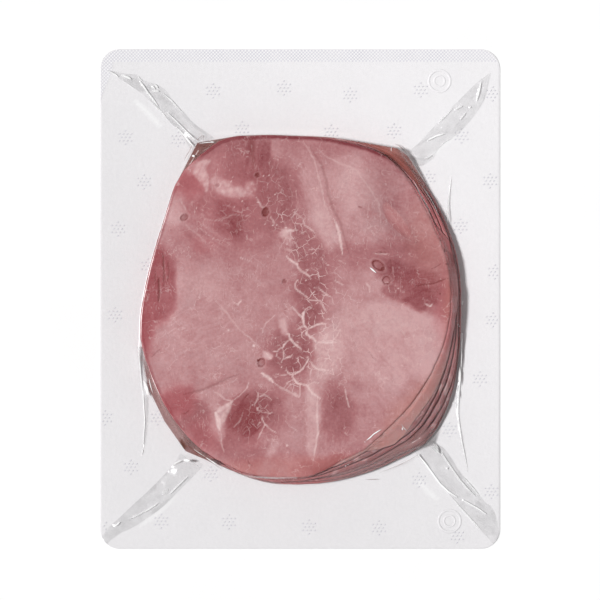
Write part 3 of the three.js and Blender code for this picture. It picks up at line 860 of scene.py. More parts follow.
def face_pattern(points):
    """The top slice's pattern at each point of its face."""
    bent = warped(warped(points, 10, 1.3, 11), 3.2, 0.55, 13)
    bent = warped(bent, 1.3, 0.22, 23)
    tone = np.full(len(points), FACE_TONE)
    for *ellipse, target, softness in MEAT_FIELDS:
        share = smooth(1 + softness, 1 - softness, ellipse_distance(bent, *ellipse))
        tone += share * (target - tone)
    tone += 0.07 * noise_at(points, 5, 25, 3) + 0.05 * noise_at(points, 1.1, 26, 2)
    grown = warped(points, 14, 3, 43)
    for seed, (x, y, reach, degrees, strength) in enumerate(GRAIN):
        share = smooth(1.25 * reach, 0.5 * reach, np.hypot(points[:, 0] - x, points[:, 1] - y))
        near = np.flatnonzero(share > 0)
        along, across = math.cos(math.radians(degrees)), math.sin(math.radians(degrees))
        turned = grown[near] @ np.array([[along, -across], [across, along]]) * np.array([0.13, 1.0])
        tone[near] += strength * share[near] * noise_at(turned, 0.95, 44 + seed, 2)
    to_edge = slice_reach(0, turn_of(points)) - np.linalg.norm(points - CENTRE, axis=1)
    # Painted shade along the rim at the top edge; along the left edge the rim is darkened in the same way.
    tone -= 0.8 * smooth(1.9, 0.6, to_edge) * smooth(52, 60, points[:, 1])
    tone -= 0.5 * smooth(1.7, 0.5, to_edge) * smooth(-42, -50, points[:, 0]) * smooth(48, 42, points[:, 1])
    lines = warped(warped(points, 4, 0.3, 19), 1.4, 0.24, 15)
    uneven = 1 + 0.35 * noise_at(points, 2.2, 33)
    fat = line_strength(lines, FAT_LINES, widen=0.88) * np.clip(0.95 + 0.5 * noise_at(points, 1.2, 27), 0, 1.2) * uneven
    flecked = np.clip(0.4 + 0.9 * noise_at(points, 1.4, 34, 3), 0.05, 1.1)
    fat = np.maximum(fat, field_strength(warped(bent, 0.9, 0.4, 35), FAT_FIELDS) * flecked)
    dark = line_strength(warped(points, 1.1, 0.2, 17), CREASES)
    dark = np.maximum(dark, field_strength(bent, DARK_FIELDS))
    net = np.zeros(len(points))
    for half_width, strength, line in FAT_NET:
        distance, _ = along_line(bent, line)
        net = np.maximum(net, strength * smooth(half_width * 1.15, half_width * 0.4, distance))
    for *ellipse, _, floor, rim in VESSELS:
        out = ellipse_distance(warped(points, 1.4, 0.12, 29), *ellipse)
        inside = smooth(1.06, 0.9, out)
        ring = smooth(0.62, 0.85, out) * inside
        fat = fat * (1 - inside) + 0.12 * smooth(0.22, 0.04, np.abs(out - 1.28)) * (1 - inside)
        net *= 1 - inside
        dark = np.maximum(dark * (1 - inside), inside * (floor + (rim - floor) * ring))
    # Painted highlights: the wet glints are mixed into the fat.
    painted_glint = np.zeros(len(points))
    for x, y, radius in GLINT_SPECKS:
        painted_glint = np.maximum(painted_glint, smooth(radius, radius * 0.3, np.hypot(points[:, 0] - x, points[:, 1] - y)))
    return {
        "tone": np.clip(tone, 0, 1.1),
        "fat": np.clip(np.maximum(fat, painted_glint), 0, 1),
        "dark": np.clip(dark, 0, 1),
        "net": net,
        "red": field_strength(bent, RED_FIELDS),
        "brown": field_strength(bent, BROWN_FIELDS),
        "grey": np.zeros(len(points)),
        "edge": np.zeros(len(points)),
    }


def face_relief(points):
    """How far the face stands below its plane: cut vessels, cracks and the meat's own grain."""
    depth = 0.03 * (1 + noise_at(points, 1.6, 21))
    for *ellipse, deep, _, _ in VESSELS:
        out = ellipse_distance(points, *ellipse)
        depth = np.maximum(depth, 0.45 * deep * smooth(1.1, 0.75, out))
    return np.maximum(depth, line_strength(warped(points, 1.1, 0.16, 17), CREASES, column=2, widen=1.1))


def edge_pattern(points, index):
    """The pattern on a slice's cut edge and on the band of its face that shows beside the slice above."""
    turn = turn_of(points)
    around = round_the_centre(turn, np.full(len(turn), 9.0))
    long_streaks = noise_at(np.column_stack([around, points[:, 2] * 2.0]), 2.2, 70 + index, 3)
    mottle = noise_at(points, 3, 80 + index) * 0.1
    lower_right = smooth(0.11, 0.05, np.abs(np.mod(turn - 0.865 + 0.5, 1) - 0.5))
    right = smooth(0.17, 0.1, np.abs(np.mod(turn - 0.02 + 0.5, 1) - 0.5)) * (1 - lower_right)
    second = lower_right * (index == 1)
    slope = lower_right * (index > 1)
    share = (points[:, 2] - SLICE_BOTTOMS[index]) / (SLICE_TOPS[index] - SLICE_BOTTOMS[index])
    # Painted shade: each slice's cut edge is darkened near its lower side, in the gap to the slice below.
    gap_shade = smooth(0.32, 0.12, share) * (0.2 + 0.3 * long_streaks) * (1 - 0.8 * slope - 0.6 * right)
    to_edge = slice_reach(index, turn) - np.linalg.norm(points[:, :2] - CENTRE, axis=1)
    # Painted highlight: a pale line along the second slice's rim at the lower right.
    rim_highlight = smooth(1.4, 0.5, to_edge) * second
    first = lower_right * (index == 0)
    left = smooth(0.16, 0.1, np.abs(turn - 0.47))
    fat = np.clip(noise_at(points, 5, 90 + index) * 1.4 - 0.5, 0, 0.4) * (1 - second) * (1 - 0.7 * right)
    tone = 0.5 + 0.15 * long_streaks + mottle + 0.42 * second + 0.3 * rim_highlight + 0.04 * slope
    # Painted light: the cut edges on the right, which face away from the lamp, and the top slice's edge at the lower
    # right are lightened.
    tone += (0.1 + 0.2 * (index == 0)) * right + 0.3 * first - 0.35 * left
    return {
        "tone": tone,
        "fat": fat,
        "dark": np.clip(gap_shade + 0.3 * smooth(0.2, 0.5, long_streaks) * slope, 0, 0.7),
        "net": np.zeros(len(points)),
        "red": np.clip(0.5 - 0.5 * lower_right + 0.6 * first + 0.5 * right + 0.4 * left, 0, 1),
        "brown": 0.1 + 0.28 * second + 0.3 * first,
        # Painted shade with a painted film reflection: the lower slices' sloping edges at the lower right are greyed.
        "grey": 0.5 * slope,
        "edge": lower_right,
    }


# ---------------------------------------------------------------- settings


class HamSettings(bpy.types.PropertyGroup):
    """The meat's colours."""

    deep: FloatVectorProperty(
        name="Deep Meat", description="The darkest muscle", subtype="COLOR",
        default=srgb(127, 50, 57), min=0, max=1
    )
    middle: FloatVectorProperty(
        name="Meat", description="The middle tone of the muscle", subtype="COLOR",
        default=srgb(171, 110, 113), min=0, max=1
    )
    pale: FloatVectorProperty(
        name="Pale Meat", description="The palest muscle", subtype="COLOR",
        default=srgb(205, 160, 161), min=0, max=1
    )
    fat: FloatVectorProperty(
        name="Fat", description="Seams and threads of fat", subtype="COLOR",
        default=srgb(229, 198, 196), min=0, max=1
    )
    # Also the colour of the painted shade in the gaps between slices.
    crack: FloatVectorProperty(
        name="Crack", description="Inside cracks and cut vessels", subtype="COLOR",
        default=srgb(116, 36, 34), min=0, max=1
    )
    red: FloatVectorProperty(
        name="Red Meat", description="The redder patches", subtype="COLOR",
        default=srgb(190, 84, 92), min=0, max=1
    )
    brown: FloatVectorProperty(
        name="Brown Meat", description="The browner rims", subtype="COLOR",
        default=srgb(190, 122, 106), min=0, max=1
    )
    face_segments: IntProperty(
        name="Face Divisions", description="Squares across the top slice's face",
        default=286, min=40, max=300
    )


class FilmSettings(bpy.types.PropertyGroup):
    """The clear film and what moves under it."""

    thickness: FloatProperty(
        name="Thickness", description="The film's wall",
        default=0.0001, min=0.00004, max=0.0003, unit="LENGTH", precision=5
    )
    roughness: FloatProperty(
        name="Roughness", description="How soft the film's reflections are",
        default=0.22, min=0, max=1, subtype="FACTOR"
    )
    # Painted highlight: the white painted on the film's creases.
    crease_highlight: FloatVectorProperty(
        name="Crease Highlights", description="Light on the film's sharp creases", subtype="COLOR",
        default=srgb(252, 252, 252), min=0, max=1
    )
    fold: FloatVectorProperty(
        name="Folds", description="What the folded layers let through", subtype="COLOR",
        default=srgb(247, 247, 247), min=0, max=1
    )
    # Painted shade: the juices' brown stands partly for the shaded lower slices seen through the film.
    brine: FloatVectorProperty(
        name="Juices and Shade", description="The juices in the film's corners", subtype="COLOR",
        default=srgb(126, 62, 52), min=0, max=1
    )


class BackingSettings(bpy.types.PropertyGroup):
    """The white backing sheet."""

    white: FloatVectorProperty(
        name="White", description="The sheet's colour", subtype="COLOR",
        default=srgb(243, 241, 243), min=0, max=1
    )
    # Painted shade: the colour that the pressed dots and the hollows of the seal band are painted.
    dot: FloatVectorProperty(
        name="Dots", description="The pressed dots' colour", subtype="COLOR",
        default=srgb(214, 212, 221), min=0, max=1
    )
    dot_width: FloatProperty(
        name="Dot Width", description="Across one pressed dot",
        default=0.0009, min=0.0003, max=0.002, unit="LENGTH", precision=5
    )


class StageSettings(bpy.types.PropertyGroup):
    """Floor, light and camera."""

    key: FloatProperty(name="Key Light", description="The lamp on the left", default=2.86, min=0, max=20)
    key_height: FloatProperty(
        name="Key Height", description="How high the lamp stands",
        default=math.radians(60), unit="ROTATION", subtype="ANGLE"
    )
    fill: FloatProperty(name="Fill Light", description="The even light from all round", default=0.26, min=0, max=5)
    camera_distance: FloatProperty(
        name="Camera Distance", description="From the camera to the floor",
        default=4.0, min=0.3, max=8, unit="LENGTH"
    )


class HamPackSettings(bpy.types.PropertyGroup):
    """Everything that a user would change."""

    ham: PointerProperty(type=HamSettings)
    film: PointerProperty(type=FilmSettings)
    backing: PointerProperty(type=BackingSettings)
    stage: PointerProperty(type=StageSettings)


# ---------------------------------------------------------------- materials


def meat_material(settings):
    """Moist cooked meat: toned muscle with fibres, threads of fat and dark cracks, with painted shade in the gaps
    between slices and on the lower slices' sloping edges, and painted wet glints among the fat.
    """
    found = bpy.data.materials.get("meat")
    if found:
        return found
    n = Nodes("meat")
    grain = n.band(n.noise(1.1, 4, 0.65), 0.3, 0.7, -0.06, 0.06)
    cloud = n.band(n.noise(5, 3, 0.6), 0.3, 0.7, -0.06, 0.06)
    wander = n.add("ShaderNodeTexNoise", Vector=n.place(), Scale=1 / (2.4 * MM), Detail=3.0).outputs["Color"]
    wander = n.add("ShaderNodeVectorMath", operation="SUBTRACT", in_0=wander, in_1=(0.5, 0.5, 0.5)).outputs[0]
    wander = n.add("ShaderNodeVectorMath", operation="SCALE", in_0=wander, Scale=2.4 * MM).outputs[0]
    place = n.add("ShaderNodeVectorMath", operation="ADD", in_0=n.place(), in_1=wander).outputs[0]
    fibre = n.band(n.noise(0.9, 2, 0.6, vector=place, stretch=(1, 0.2, 1), turn=20), 0.3, 0.7, -0.02, 0.02)
    tone = n.sum("ADD", n.sum("ADD", n.attribute("tone"), grain), n.sum("ADD", cloud, fibre), clamp=True)
    meat = n.ramp(tone, (0.0, tuple(settings.deep)), (1.0, tuple(settings.pale)), (0.5, tuple(settings.middle)))
    meat = n.mix(n.sum("MULTIPLY", n.attribute("red"), 0.34), meat, tuple(settings.red))
    meat = n.mix(n.attribute("brown"), meat, tuple(settings.brown))
    veil = n.sum("MULTIPLY", n.band(n.noise(8, 3, 0.6), 0.45, 0.8, 0.0, 0.2), n.band(tone, 0.2, 0.8))
    meat = n.mix(veil, meat, srgb(186, 154, 156))
    # Painted shade with a painted film reflection: greyed on the lower slices' sloping edges.
    meat = n.mix(n.attribute("grey"), meat, srgb(140, 116, 118))
    threads = []
    for size, width, strength, low in ((3.4, 0.06, 0.8, 0.42), (1.8, 0.07, 0.3, 0.5)):
        cells = n.add(
            "ShaderNodeTexVoronoi",
            voronoi_dimensions="2D",
            feature="DISTANCE_TO_EDGE",
            Vector=place,
            Scale=1 / (size * MM),
        ).outputs["Distance"]
        thread = n.band(cells, width * 0.25, width, strength, 0.0)
        broken = n.band(n.noise(1.3 * size, 2), low, low + 0.16)
        threads.append(n.sum("MULTIPLY", thread, broken))
    net = n.sum("MULTIPLY", n.sum("MAXIMUM", threads[0], threads[1]), n.attribute("net"))
    level = n.sum("ABSOLUTE", n.sum("SUBTRACT", n.noise(5, 2, vector=place), 0.5))
    hair = n.sum("MULTIPLY", n.band(level, 0.003, 0.014, 0.34, 0.0), n.band(n.noise(7, 2), 0.46, 0.6))
    for turn, stretch in ((35, 0.1), (-25, 0.12)):
        scratch = n.band(n.noise(0.55, 1, vector=place, stretch=(1, stretch, 1), turn=turn), 0.62, 0.74, 0.0, 0.3)
        hair = n.sum("MAXIMUM", hair, n.sum("MULTIPLY", scratch, n.band(n.noise(11, 2), 0.5, 0.62)))
    faint = n.sum("MAXIMUM", n.band(n.noise(0.7, 2, vector=place), 0.68, 0.8, 0.0, 0.25), hair)
    fat = n.sum("MAXIMUM", n.sum("MAXIMUM", net, faint), n.attribute("fat"))
    colour = n.mix(fat, meat, tuple(settings.fat))
    # Dark cracks and vessels, and painted shade in the gaps between slices.
    colour = n.mix(n.attribute("dark"), colour, tuple(settings.crack))

    bump = n.add("ShaderNodeBump", Strength=0.35, Distance=0.00012, Height=n.noise(0.7, 3, 0.6))
    roughness = n.band(n.noise(3, 2), 0.3, 0.7, 0.4, 0.55)
    shader = n.add(
        "ShaderNodeBsdfPrincipled",
        Base_Color=colour,
        Roughness=roughness,
        Specular_IOR_Level=0.16,
        Subsurface_Weight=n.band(n.attribute("edge"), 0.0, 1.0, 0.08, 0.75),
        Subsurface_Radius=(0.0036, 0.0016, 0.0014),
        Subsurface_Scale=1.0,
        Normal=bump.outputs[0],
    )
    return n.finish(shader.outputs[0])


def film_material(settings):
    """Thin clear film: light goes straight through it, it mirrors more at a slant, and its sharp creases carry painted
    white highlights.

    The shade of a place is how much its folded layers hold back, with painted shade along some folds, and its shine how
    much painted highlight it carries on a crease.
    """
    found = bpy.data.materials.get("clear_film")
    if found:
        return found
    n = Nodes("clear_film")
    slant = n.add("ShaderNodeLayerWeight", Blend=0.5).outputs["Facing"]
    steep = n.sum("POWER", slant, 5.0)
    mirror = n.add("ShaderNodeMath", operation="MULTIPLY_ADD", in_0=steep, in_1=0.1, in_2=0.022).outputs[0]
    ripple = n.add("ShaderNodeBump", Strength=0.2, Distance=0.0002, Height=n.noise(5, 2)).outputs[0]
    cloud = n.band(n.noise(3, 3), 0.3, 0.7, 0.75, 1.25)
    tint = n.mix(n.sum("MULTIPLY", n.attribute("shade"), cloud), (1, 1, 1), tuple(settings.fold))
    clear = n.add("ShaderNodeBsdfTransparent", Color=tint).outputs[0]
    gloss = n.add("ShaderNodeBsdfGlossy", Color=(1, 1, 1, 1), Roughness=settings.roughness, Normal=ripple).outputs[0]
    # Painted highlight: a white diffuse colour mixed in by the shine attribute.
    crease_highlight = n.add("ShaderNodeBsdfDiffuse", Color=(*settings.crease_highlight, 1)).outputs[0]
    film = n.add("ShaderNodeMixShader", Fac=mirror, in_1=clear, in_2=gloss).outputs[0]
    return n.finish(n.add("ShaderNodeMixShader", Fac=n.attribute("shine"), in_1=film, in_2=crease_highlight).outputs[0])


def brine_material(settings):
    """Thin brown juices, whose colour is partly painted shade: the shaded lower slices seen through them."""
    found = bpy.data.materials.get("brine")
    if found:
        return found
    n = Nodes("brine")
    colour = n.mix(n.band(n.noise(4, 3), 0.3, 0.7), tuple(settings.brine), srgb(140, 92, 84))
    colour = n.mix(n.attribute("red"), colour, srgb(204, 112, 98))
    colour = n.mix(n.attribute("pale"), colour, srgb(196, 164, 166))
    colour = n.mix(n.attribute("dark"), colour, srgb(88, 44, 28))
    alpha = n.sum("MULTIPLY", n.band(n.attribute("dark"), 0.0, 1.0, 0.5, 0.95), n.attribute("body"))
    shader = n.add("ShaderNodeBsdfPrincipled", Base_Color=colour, Roughness=0.25, Specular_IOR_Level=0.3, Alpha=alpha)
    return n.finish(shader.outputs[0])


def backing_material(settings):
    """White plastic laminate, faintly clouded, with painted shade toward the left and bottom, painted light beside the
    folds, and pressed dots painted darker as shade.
    """
    found = bpy.data.materials.get("backing_white")
    if found:
        return found
    n = Nodes("backing_white")
    white = tuple(settings.white)
    place = n.add("ShaderNodeSeparateXYZ", Vector=n.place())
    # Painted shade: the sheet darkens toward the left and the bottom, as the light falls off there.
    slope = n.sum("ADD", place.outputs["X"], n.sum("MULTIPLY", place.outputs["Y"], 0.8))
    colour = n.mix(n.band(slope, -0.06, 0.12), tuple(c * 0.9 for c in white), white)
    cloud = n.sum("ADD", n.band(n.noise(14, 3, 0.6), 0.3, 0.7, 0.0, 0.4), n.band(n.noise(1.1, 3), 0.35, 0.65, 0.0, 0.6))
    colour = n.mix(cloud, n.mix(0.045, colour, (0.1, 0.1, 0.1)), colour)
    # Painted light: brighter beside the folds and on the tops of the seal band's knobs.
    colour = n.mix(n.attribute("glow"), colour, (0.96, 0.96, 0.96))
    # Painted shade: the pressed dots and the seal band's hollows are painted darker.
    colour = n.mix(n.attribute("dot"), colour, tuple(settings.dot))
    bump = n.add("ShaderNodeBump", Strength=0.45, Distance=0.0002, Height=n.noise(1.4, 3)).outputs[0]
    shader = n.add(
        "ShaderNodeBsdfPrincipled", Base_Color=colour, Roughness=0.5, Specular_IOR_Level=0.3, Normal=bump
    )
    return n.finish(shader.outputs[0])


# ---------------------------------------------------------------- pieces


def slice_rings(bm, edges, index, rim):
    """Takes a slice's face over its rounded rim and down to its lower edge, and closes it there."""
    top, bottom = SLICE_TOPS[index], SLICE_BOTTOMS[index]

    def drawn_in(amount):
        return lambda turn: slice_reach(index, turn) - amount

    for share in (0.25, 0.5, 0.75, 1.0):
        angle = share * math.pi / 2
        edges = add_ring(bm, edges, drawn_in(rim * (1 - math.sin(angle))), top - rim * (1 - math.cos(angle)) * 0.8)
    edges = add_ring(bm, edges, drawn_in(0.0), bottom + 0.3)
    edges = add_ring(bm, edges, drawn_in(0.3), bottom)
    edges = add_ring(bm, edges, drawn_in(6.0), bottom)
    bmesh.ops.edgeloop_fill(bm, edges=edges)


def make_top_slice(settings):
    """The slice whose whole face shows."""
    rim = 1.0
    bm = bmesh.new()
    disc(bm, settings.face_segments)
    flat = places(bm.verts)
    turn = np.mod(np.arctan2(flat[:, 1], flat[:, 0]) / (2 * np.pi), 1)
    radius = np.linalg.norm(flat[:, :2], axis=1)
    face = round_the_centre(turn, radius * (slice_reach(0, turn) - rim))
    depth = face_relief(face) * smooth(1.0, 0.985, radius)
    move(bm.verts, np.column_stack([face, STACK_TOP - depth]))
    slice_rings(bm, open_edges(bm), 0, rim)
    made = places(bm.verts)
    pattern = face_pattern(made[:, :2])
    edge = edge_pattern(made, 0)
    to_edge = slice_reach(0, turn_of(made)) - np.linalg.norm(made[:, :2] - CENTRE, axis=1)
    side = smooth(STACK_TOP - 0.15, STACK_TOP - 0.7, made[:, 2]) * smooth(3, 1.2, to_edge)
    pattern = {key: pattern[key] * (1 - side) + edge[key] * side for key in edge}
    move(bm.verts, settle(made))
    new_piece(bm, "top_slice", [meat_material(settings)], [SLICES[0]], pattern)


def make_lower_slice(settings, index):
    """A slice of which only the edge shows, beside the slices above it."""
    rim, shown, swell = 0.8, 14, 1.15
    bm = bmesh.new()
    bmesh.ops.create_circle(bm, segments=720, radius=1)
    turn = turn_of(places(bm.verts) + np.array([*CENTRE, 0]))
    start = round_the_centre(turn, slice_reach(index, turn) - shown)
    move(bm.verts, np.column_stack([start, np.full(len(turn), SLICE_TOPS[index])]))
    inner = open_edges(bm) or list(bm.edges)
    edges = list(bm.edges)
    for amount in (9, 6, 4, 3, 2.2, 1.5, 1.1, rim):
        edges = add_ring(bm, edges, lambda turn, a=amount: slice_reach(index, turn) - a, SLICE_TOPS[index])
    slice_rings(bm, edges, index, rim)
    bmesh.ops.edgeloop_fill(bm, edges=[edge for edge in inner if edge.is_boundary])
    made = places(bm.verts)
    pattern = edge_pattern(made, index)
    made[:, 2] -= 0.05 * (1 + noise_at(made, 3, 30 + index)) * (made[:, 2] > SLICE_TOPS[index] - 0.1)
    thickness = SLICE_TOPS[index] - SLICE_BOTTOMS[index]
    share = (made[:, 2] - SLICE_BOTTOMS[index]) / thickness
    ceiling = np.minimum(film_height(made) - FILM_CLEARANCE, SLICE_TOPS[index])
    lowered = np.maximum(SLICE_TOPS[index] - ceiling, 0)
    made[:, 2] = SLICE_TOPS[index] - lowered - (1 - share) * np.maximum(thickness - 0.4 * lowered, 0.7)
    turn = turn_of(made)
    above = np.max([slice_reach(at, turn) for at in range(index)], axis=0)
    over = np.linalg.norm(made[:, :2] - CENTRE, axis=1) - above
    bulge = swell * (smooth(-1.2, 0.1, over) if index == 1 else smooth(0, 0.6, over)) * share
    made[:, 2] = np.minimum(made[:, 2] + bulge, np.maximum(film_height(made) - FILM_CLEARANCE, made[:, 2]))
    move(bm.verts, settle(made))
    name = SLICES[index].replace("ham_", "")
    new_piece(bm, name, [meat_material(settings)], [SLICES[index]], pattern)


def make_brine(settings, corner):
    """The juices that fill one pulled-out corner of the film, between it and the slices' edges; their colour is partly
    painted shade on the slices behind.
    """
    inside_meat, least = 0.3, 0.05
    x, y, height = FILM_CORNERS[corner]
    middle = float(turn_of(np.array([[x, y]]))[0])
    lowest = BACKING_TOP + 0.2
    levels = [level for level in FILM_HEIGHTS.tolist() if level <= height + 0.01]
    levels = [lowest] + [level - 0.15 for level in levels]

    def wall(index, turn, inner):
        level = levels[index]
        slices = [at for at in range(len(SLICES)) if SLICE_TOPS[at] > level - 0.2]
        meat = slice_reach(max(slices), turn) - inside_meat
        return meat if inner else np.maximum(film_reach(level + 0.15, turn) - FILM_CLEARANCE, meat + least)

    def gap(turn):
        turn = np.array([turn])
        return float((wall(1, turn, False) - wall(1, turn, True))[0])

    ends = []
    least_gap, farthest = 0.35, 0.1
    for step in (-0.0025, 0.0025):
        turn = middle
        while gap(turn) > least_gap and abs(turn - middle) < farthest:
            turn += step
        ends.append(turn)
    along_steps = 72
    fading = 0.14
    ring = [(index, False) for index in range(len(levels))]
    ring += [(index, True) for index in reversed(range(len(levels)))]
    bm = bmesh.new()
    bmesh.ops.create_grid(bm, x_segments=along_steps, y_segments=len(ring) - 1, size=1)
    share = (places(bm.verts)[:, :2] + 1) / 2
    turn = ends[0] + (ends[1] - ends[0]) * share[:, 0]
    row = np.rint(share[:, 1] * (len(ring) - 1)).astype(int)
    points = np.zeros((len(row), 3))
    for at, (index, inner) in enumerate(ring):
        mine = row == at
        points[mine, :2] = round_the_centre(turn[mine], wall(index, turn[mine], inner))
        points[mine, 2] = levels[index]
    move(bm.verts, settle(points))
    columns = {}
    for vert, at, along in zip(bm.verts, row, np.rint(share[:, 0] * along_steps).astype(int)):
        columns[(at, along)] = vert
    last = len(ring) - 1
    for along in range(along_steps):
        bm.faces.new([columns[(0, along)], columns[(0, along + 1)], columns[(last, along + 1)], columns[(last, along)]])
    for along in (0, along_steps):
        bm.faces.new([columns[(at, along)] for at in range(len(ring))])
    made = places(bm.verts)
    spot = smooth(2.4, 1.0, np.hypot(made[:, 0] + 46.6, (made[:, 1] + 58) * 0.8))
    # Painted shade: the brown, and the pale grey-lilac at the lower corners, stand partly for the shaded lower slices
    # under the film.
    red, pale = ((0.15, 0.0), (0.8, 0.1), (0.25, 0.4), (0.3, 0.6))[corner]
    brown_patch = smooth(6, 2, np.hypot(made[:, 0] + 40, (made[:, 1] + 64) * 0.8)) * (corner == 2)
    name = ("brine_top_left", "brine_top_right", "brine_bottom_left", "brine_bottom_right")[corner]
    at = np.mod(turn_of(made) - ends[0] + 0.5, 1) - 0.5
    run = at / (ends[1] - ends[0])
    body = smooth(0, fading, run) * smooth(1, 1 - fading, run)
    attributes = {"red": red * np.ones(len(made)), "dark": spot, "pale": pale * (1 - brown_patch), "body": body}
    new_piece(bm, name, [brine_material(settings)], attributes=attributes)


# Painted highlights: white strips where the film over the stack is creased and catches the light: half width, strength
# and points.
GLINTS = (
    # lower right
    (0.36, 1.0, ((25.8, -57), (26, -57))),
    (0.3, 0.9, ((26.4, -56.4), (28, -55.2), (29.2, -54), (30.4, -53.2), (32.4, -52))),
    (0.34, 1.0, ((40.8, -51.2), (40.9, -52.4))),
    (0.2, 0.5, ((40.4, -50), (41.6, -51.6), (42.8, -52.8))),
    (0.3, 1.0, ((18, -66.7), (18.4, -66.6))),
    (0.25, 0.6, ((19, -66.2), (19.4, -66))),
    # upper left
    (0.5, 1.0, ((-43.2, 57.1), (-42, 57.1))),
    (0.3, 1.0, ((-41.9, 61.5), (-41.7, 61.3))),
    (0.22, 0.55, ((-40.4, 62), (-38, 62.4), (-36, 62.6), (-34, 62.6))),
    (0.26, 0.9, ((-36, 62.7), (-34.2, 62.6))),
    # lower left
    (0.22, 0.45, ((-42.4, -60), (-40, -61.6), (-37.8, -63))),
    (0.3, 1.0, ((-37.6, -63.2), (-35.2, -64.8), (-32.8, -66.2))),
    (0.28, 0.9, ((-30.6, -67.8), (-30.2, -67.9))),
    (0.26, 0.8, ((-29.7, -68.3), (-29.4, -68.4))),
    (0.7, 0.8, ((-62.4, -32.6), (-61.4, -35.8), (-60.6, -38.8))),
    (0.24, 0.5, ((-60.4, -31.6), (-59.8, -34.4), (-59.2, -36.4), (-58.8, -37.6))),
    # right side
    (0.34, 1.0, ((30.4, 10.4), (27.8, 12.6))),
    (0.3, 0.6, ((65, -0.4), (64.6, -2.8))),
    (0.3, 1.0, ((63, -10.2), (63.2, -10.4))),
    (0.3, 0.9, ((63.6, -10.8), (63.8, -11))),
    (0.5, 0.22, ((-27, -69.4), (-20, -70.8), (-10, -71.4), (-1, -71.2))),
    (0.24, 0.7, ((64.4, -16.4), (64.6, -22.4), (64.4, -27.6))),
    (0.55, 0.7, ((63.8, -26.8), (63.9, -30.8), (63.8, -34.4))),
    (0.3, 0.7, ((63.2, -36.4), (63.2, -39.6))),
    (0.3, 0.6, ((61.2, -41.4), (60.9, -41.8))),
    # upper right
    (0.2, 0.5, ((36.4, 60.8), (36.4, 58.8))),
    (0.2, 0.4, ((45.2, 47.6), (46.8, 44.4), (48, 41.6), (50, 38.4), (52, 34.8))),
    (0.2, 0.4, ((48.4, 45.6), (51.2, 41.6), (53.6, 37.6), (55.4, 33.4))),
)

# Thin brown lines of juices along the film's creases and edges, partly painted shade beside the highlights, in the same
# way.
JUICE_AND_SHADE_LINES = (
    (0.3, 0.9, ((38, 62), (40, 61), (41.6, 59.4), (42.8, 58))),
    (0.28, 0.5, ((42.8, 58), (45.2, 54.8), (48.4, 50), (51.2, 44.8), (54, 40))),
    (0.3, 0.8, ((32.4, 58.2), (34.4, 57.4), (36, 56.8))),
    (0.26, 0.6, ((-38.8, 62.8), (-36.8, 63), (-34.8, 63))),
    (0.3, 0.6, ((-42.4, 63.2), (-44, 59.6), (-45.2, 57.6), (-46.4, 55.2))),
    (0.3, 0.6, ((-42.4, 63.2), (-40.8, 64), (-38.8, 65.3), (-38.6, 63.2))),
    (0.3, 0.7, ((-47.6, -56.4), (-44, -59.2), (-42, -60.8), (-38.4, -63.2), (-34, -66.2), (-31.2, -68.2))),
    (0.3, 0.45, ((-64, -20.4), (-62.8, -26.4), (-61.4, -32.4), (-60.2, -37.2), (-58.4, -41.2))),
    (0.3, 0.9, ((46, -52.4), (45.4, -55.6), (43.2, -57.2))),
    (0.24, 0.7, ((26, -72.2), (29, -72.1), (32, -72))),
    (0.24, 0.5, ((32, -69.4), (36, -67.8), (40, -66.2), (44, -64.2), (48, -61.6))),
)


def make_strips(name, material, lines, lifted, attributes_of):
    """Narrow tapering strips that lie on the film over the stack."""
    bm = bmesh.new()
    strengths = []
    for half_width, strength, way in lines:
        long = max(4, int(np.linalg.norm(np.diff(np.array(way), axis=0), axis=1).sum() / 0.4))
        made = bmesh.ops.create_grid(bm, x_segments=long, y_segments=4, size=1)["verts"]
        share = (places(made)[:, :2] + 1) / 2
        centre_line = even_points(way, long + 1)
        along = np.gradient(centre_line, axis=0)
        along /= np.maximum(np.linalg.norm(along, axis=1, keepdims=True), 1e-9)
        row = np.rint(share[:, 0] * long).astype(int)
        across = np.column_stack([-along[:, 1], along[:, 0]])[row]
        taper = 0.35 + 0.65 * np.sin(np.pi * share[:, 0]) ** 0.6
        width = half_width * taper * (1 + 0.3 * noise_at(centre_line[row], 1.5, 51))
        side = (share[:, 1] - 0.5) * 2
        flat = centre_line[row] + across * (side * width)[:, None]
        height = np.where(film_height(flat) > STACK_TOP - 0.05, PACK_TOP, film_height(flat) + 0.05)
        round_top = 0.1 * (1 - side**2)
        move(made, settle(np.column_stack([flat, height + lifted + round_top])))
        strengths.append(strength * (1 - side**2) * taper)
    bmesh.ops.recalc_face_normals(bm, faces=bm.faces)
    new_piece(bm, name, [material], attributes=attributes_of(np.concatenate(strengths)), upward=True)


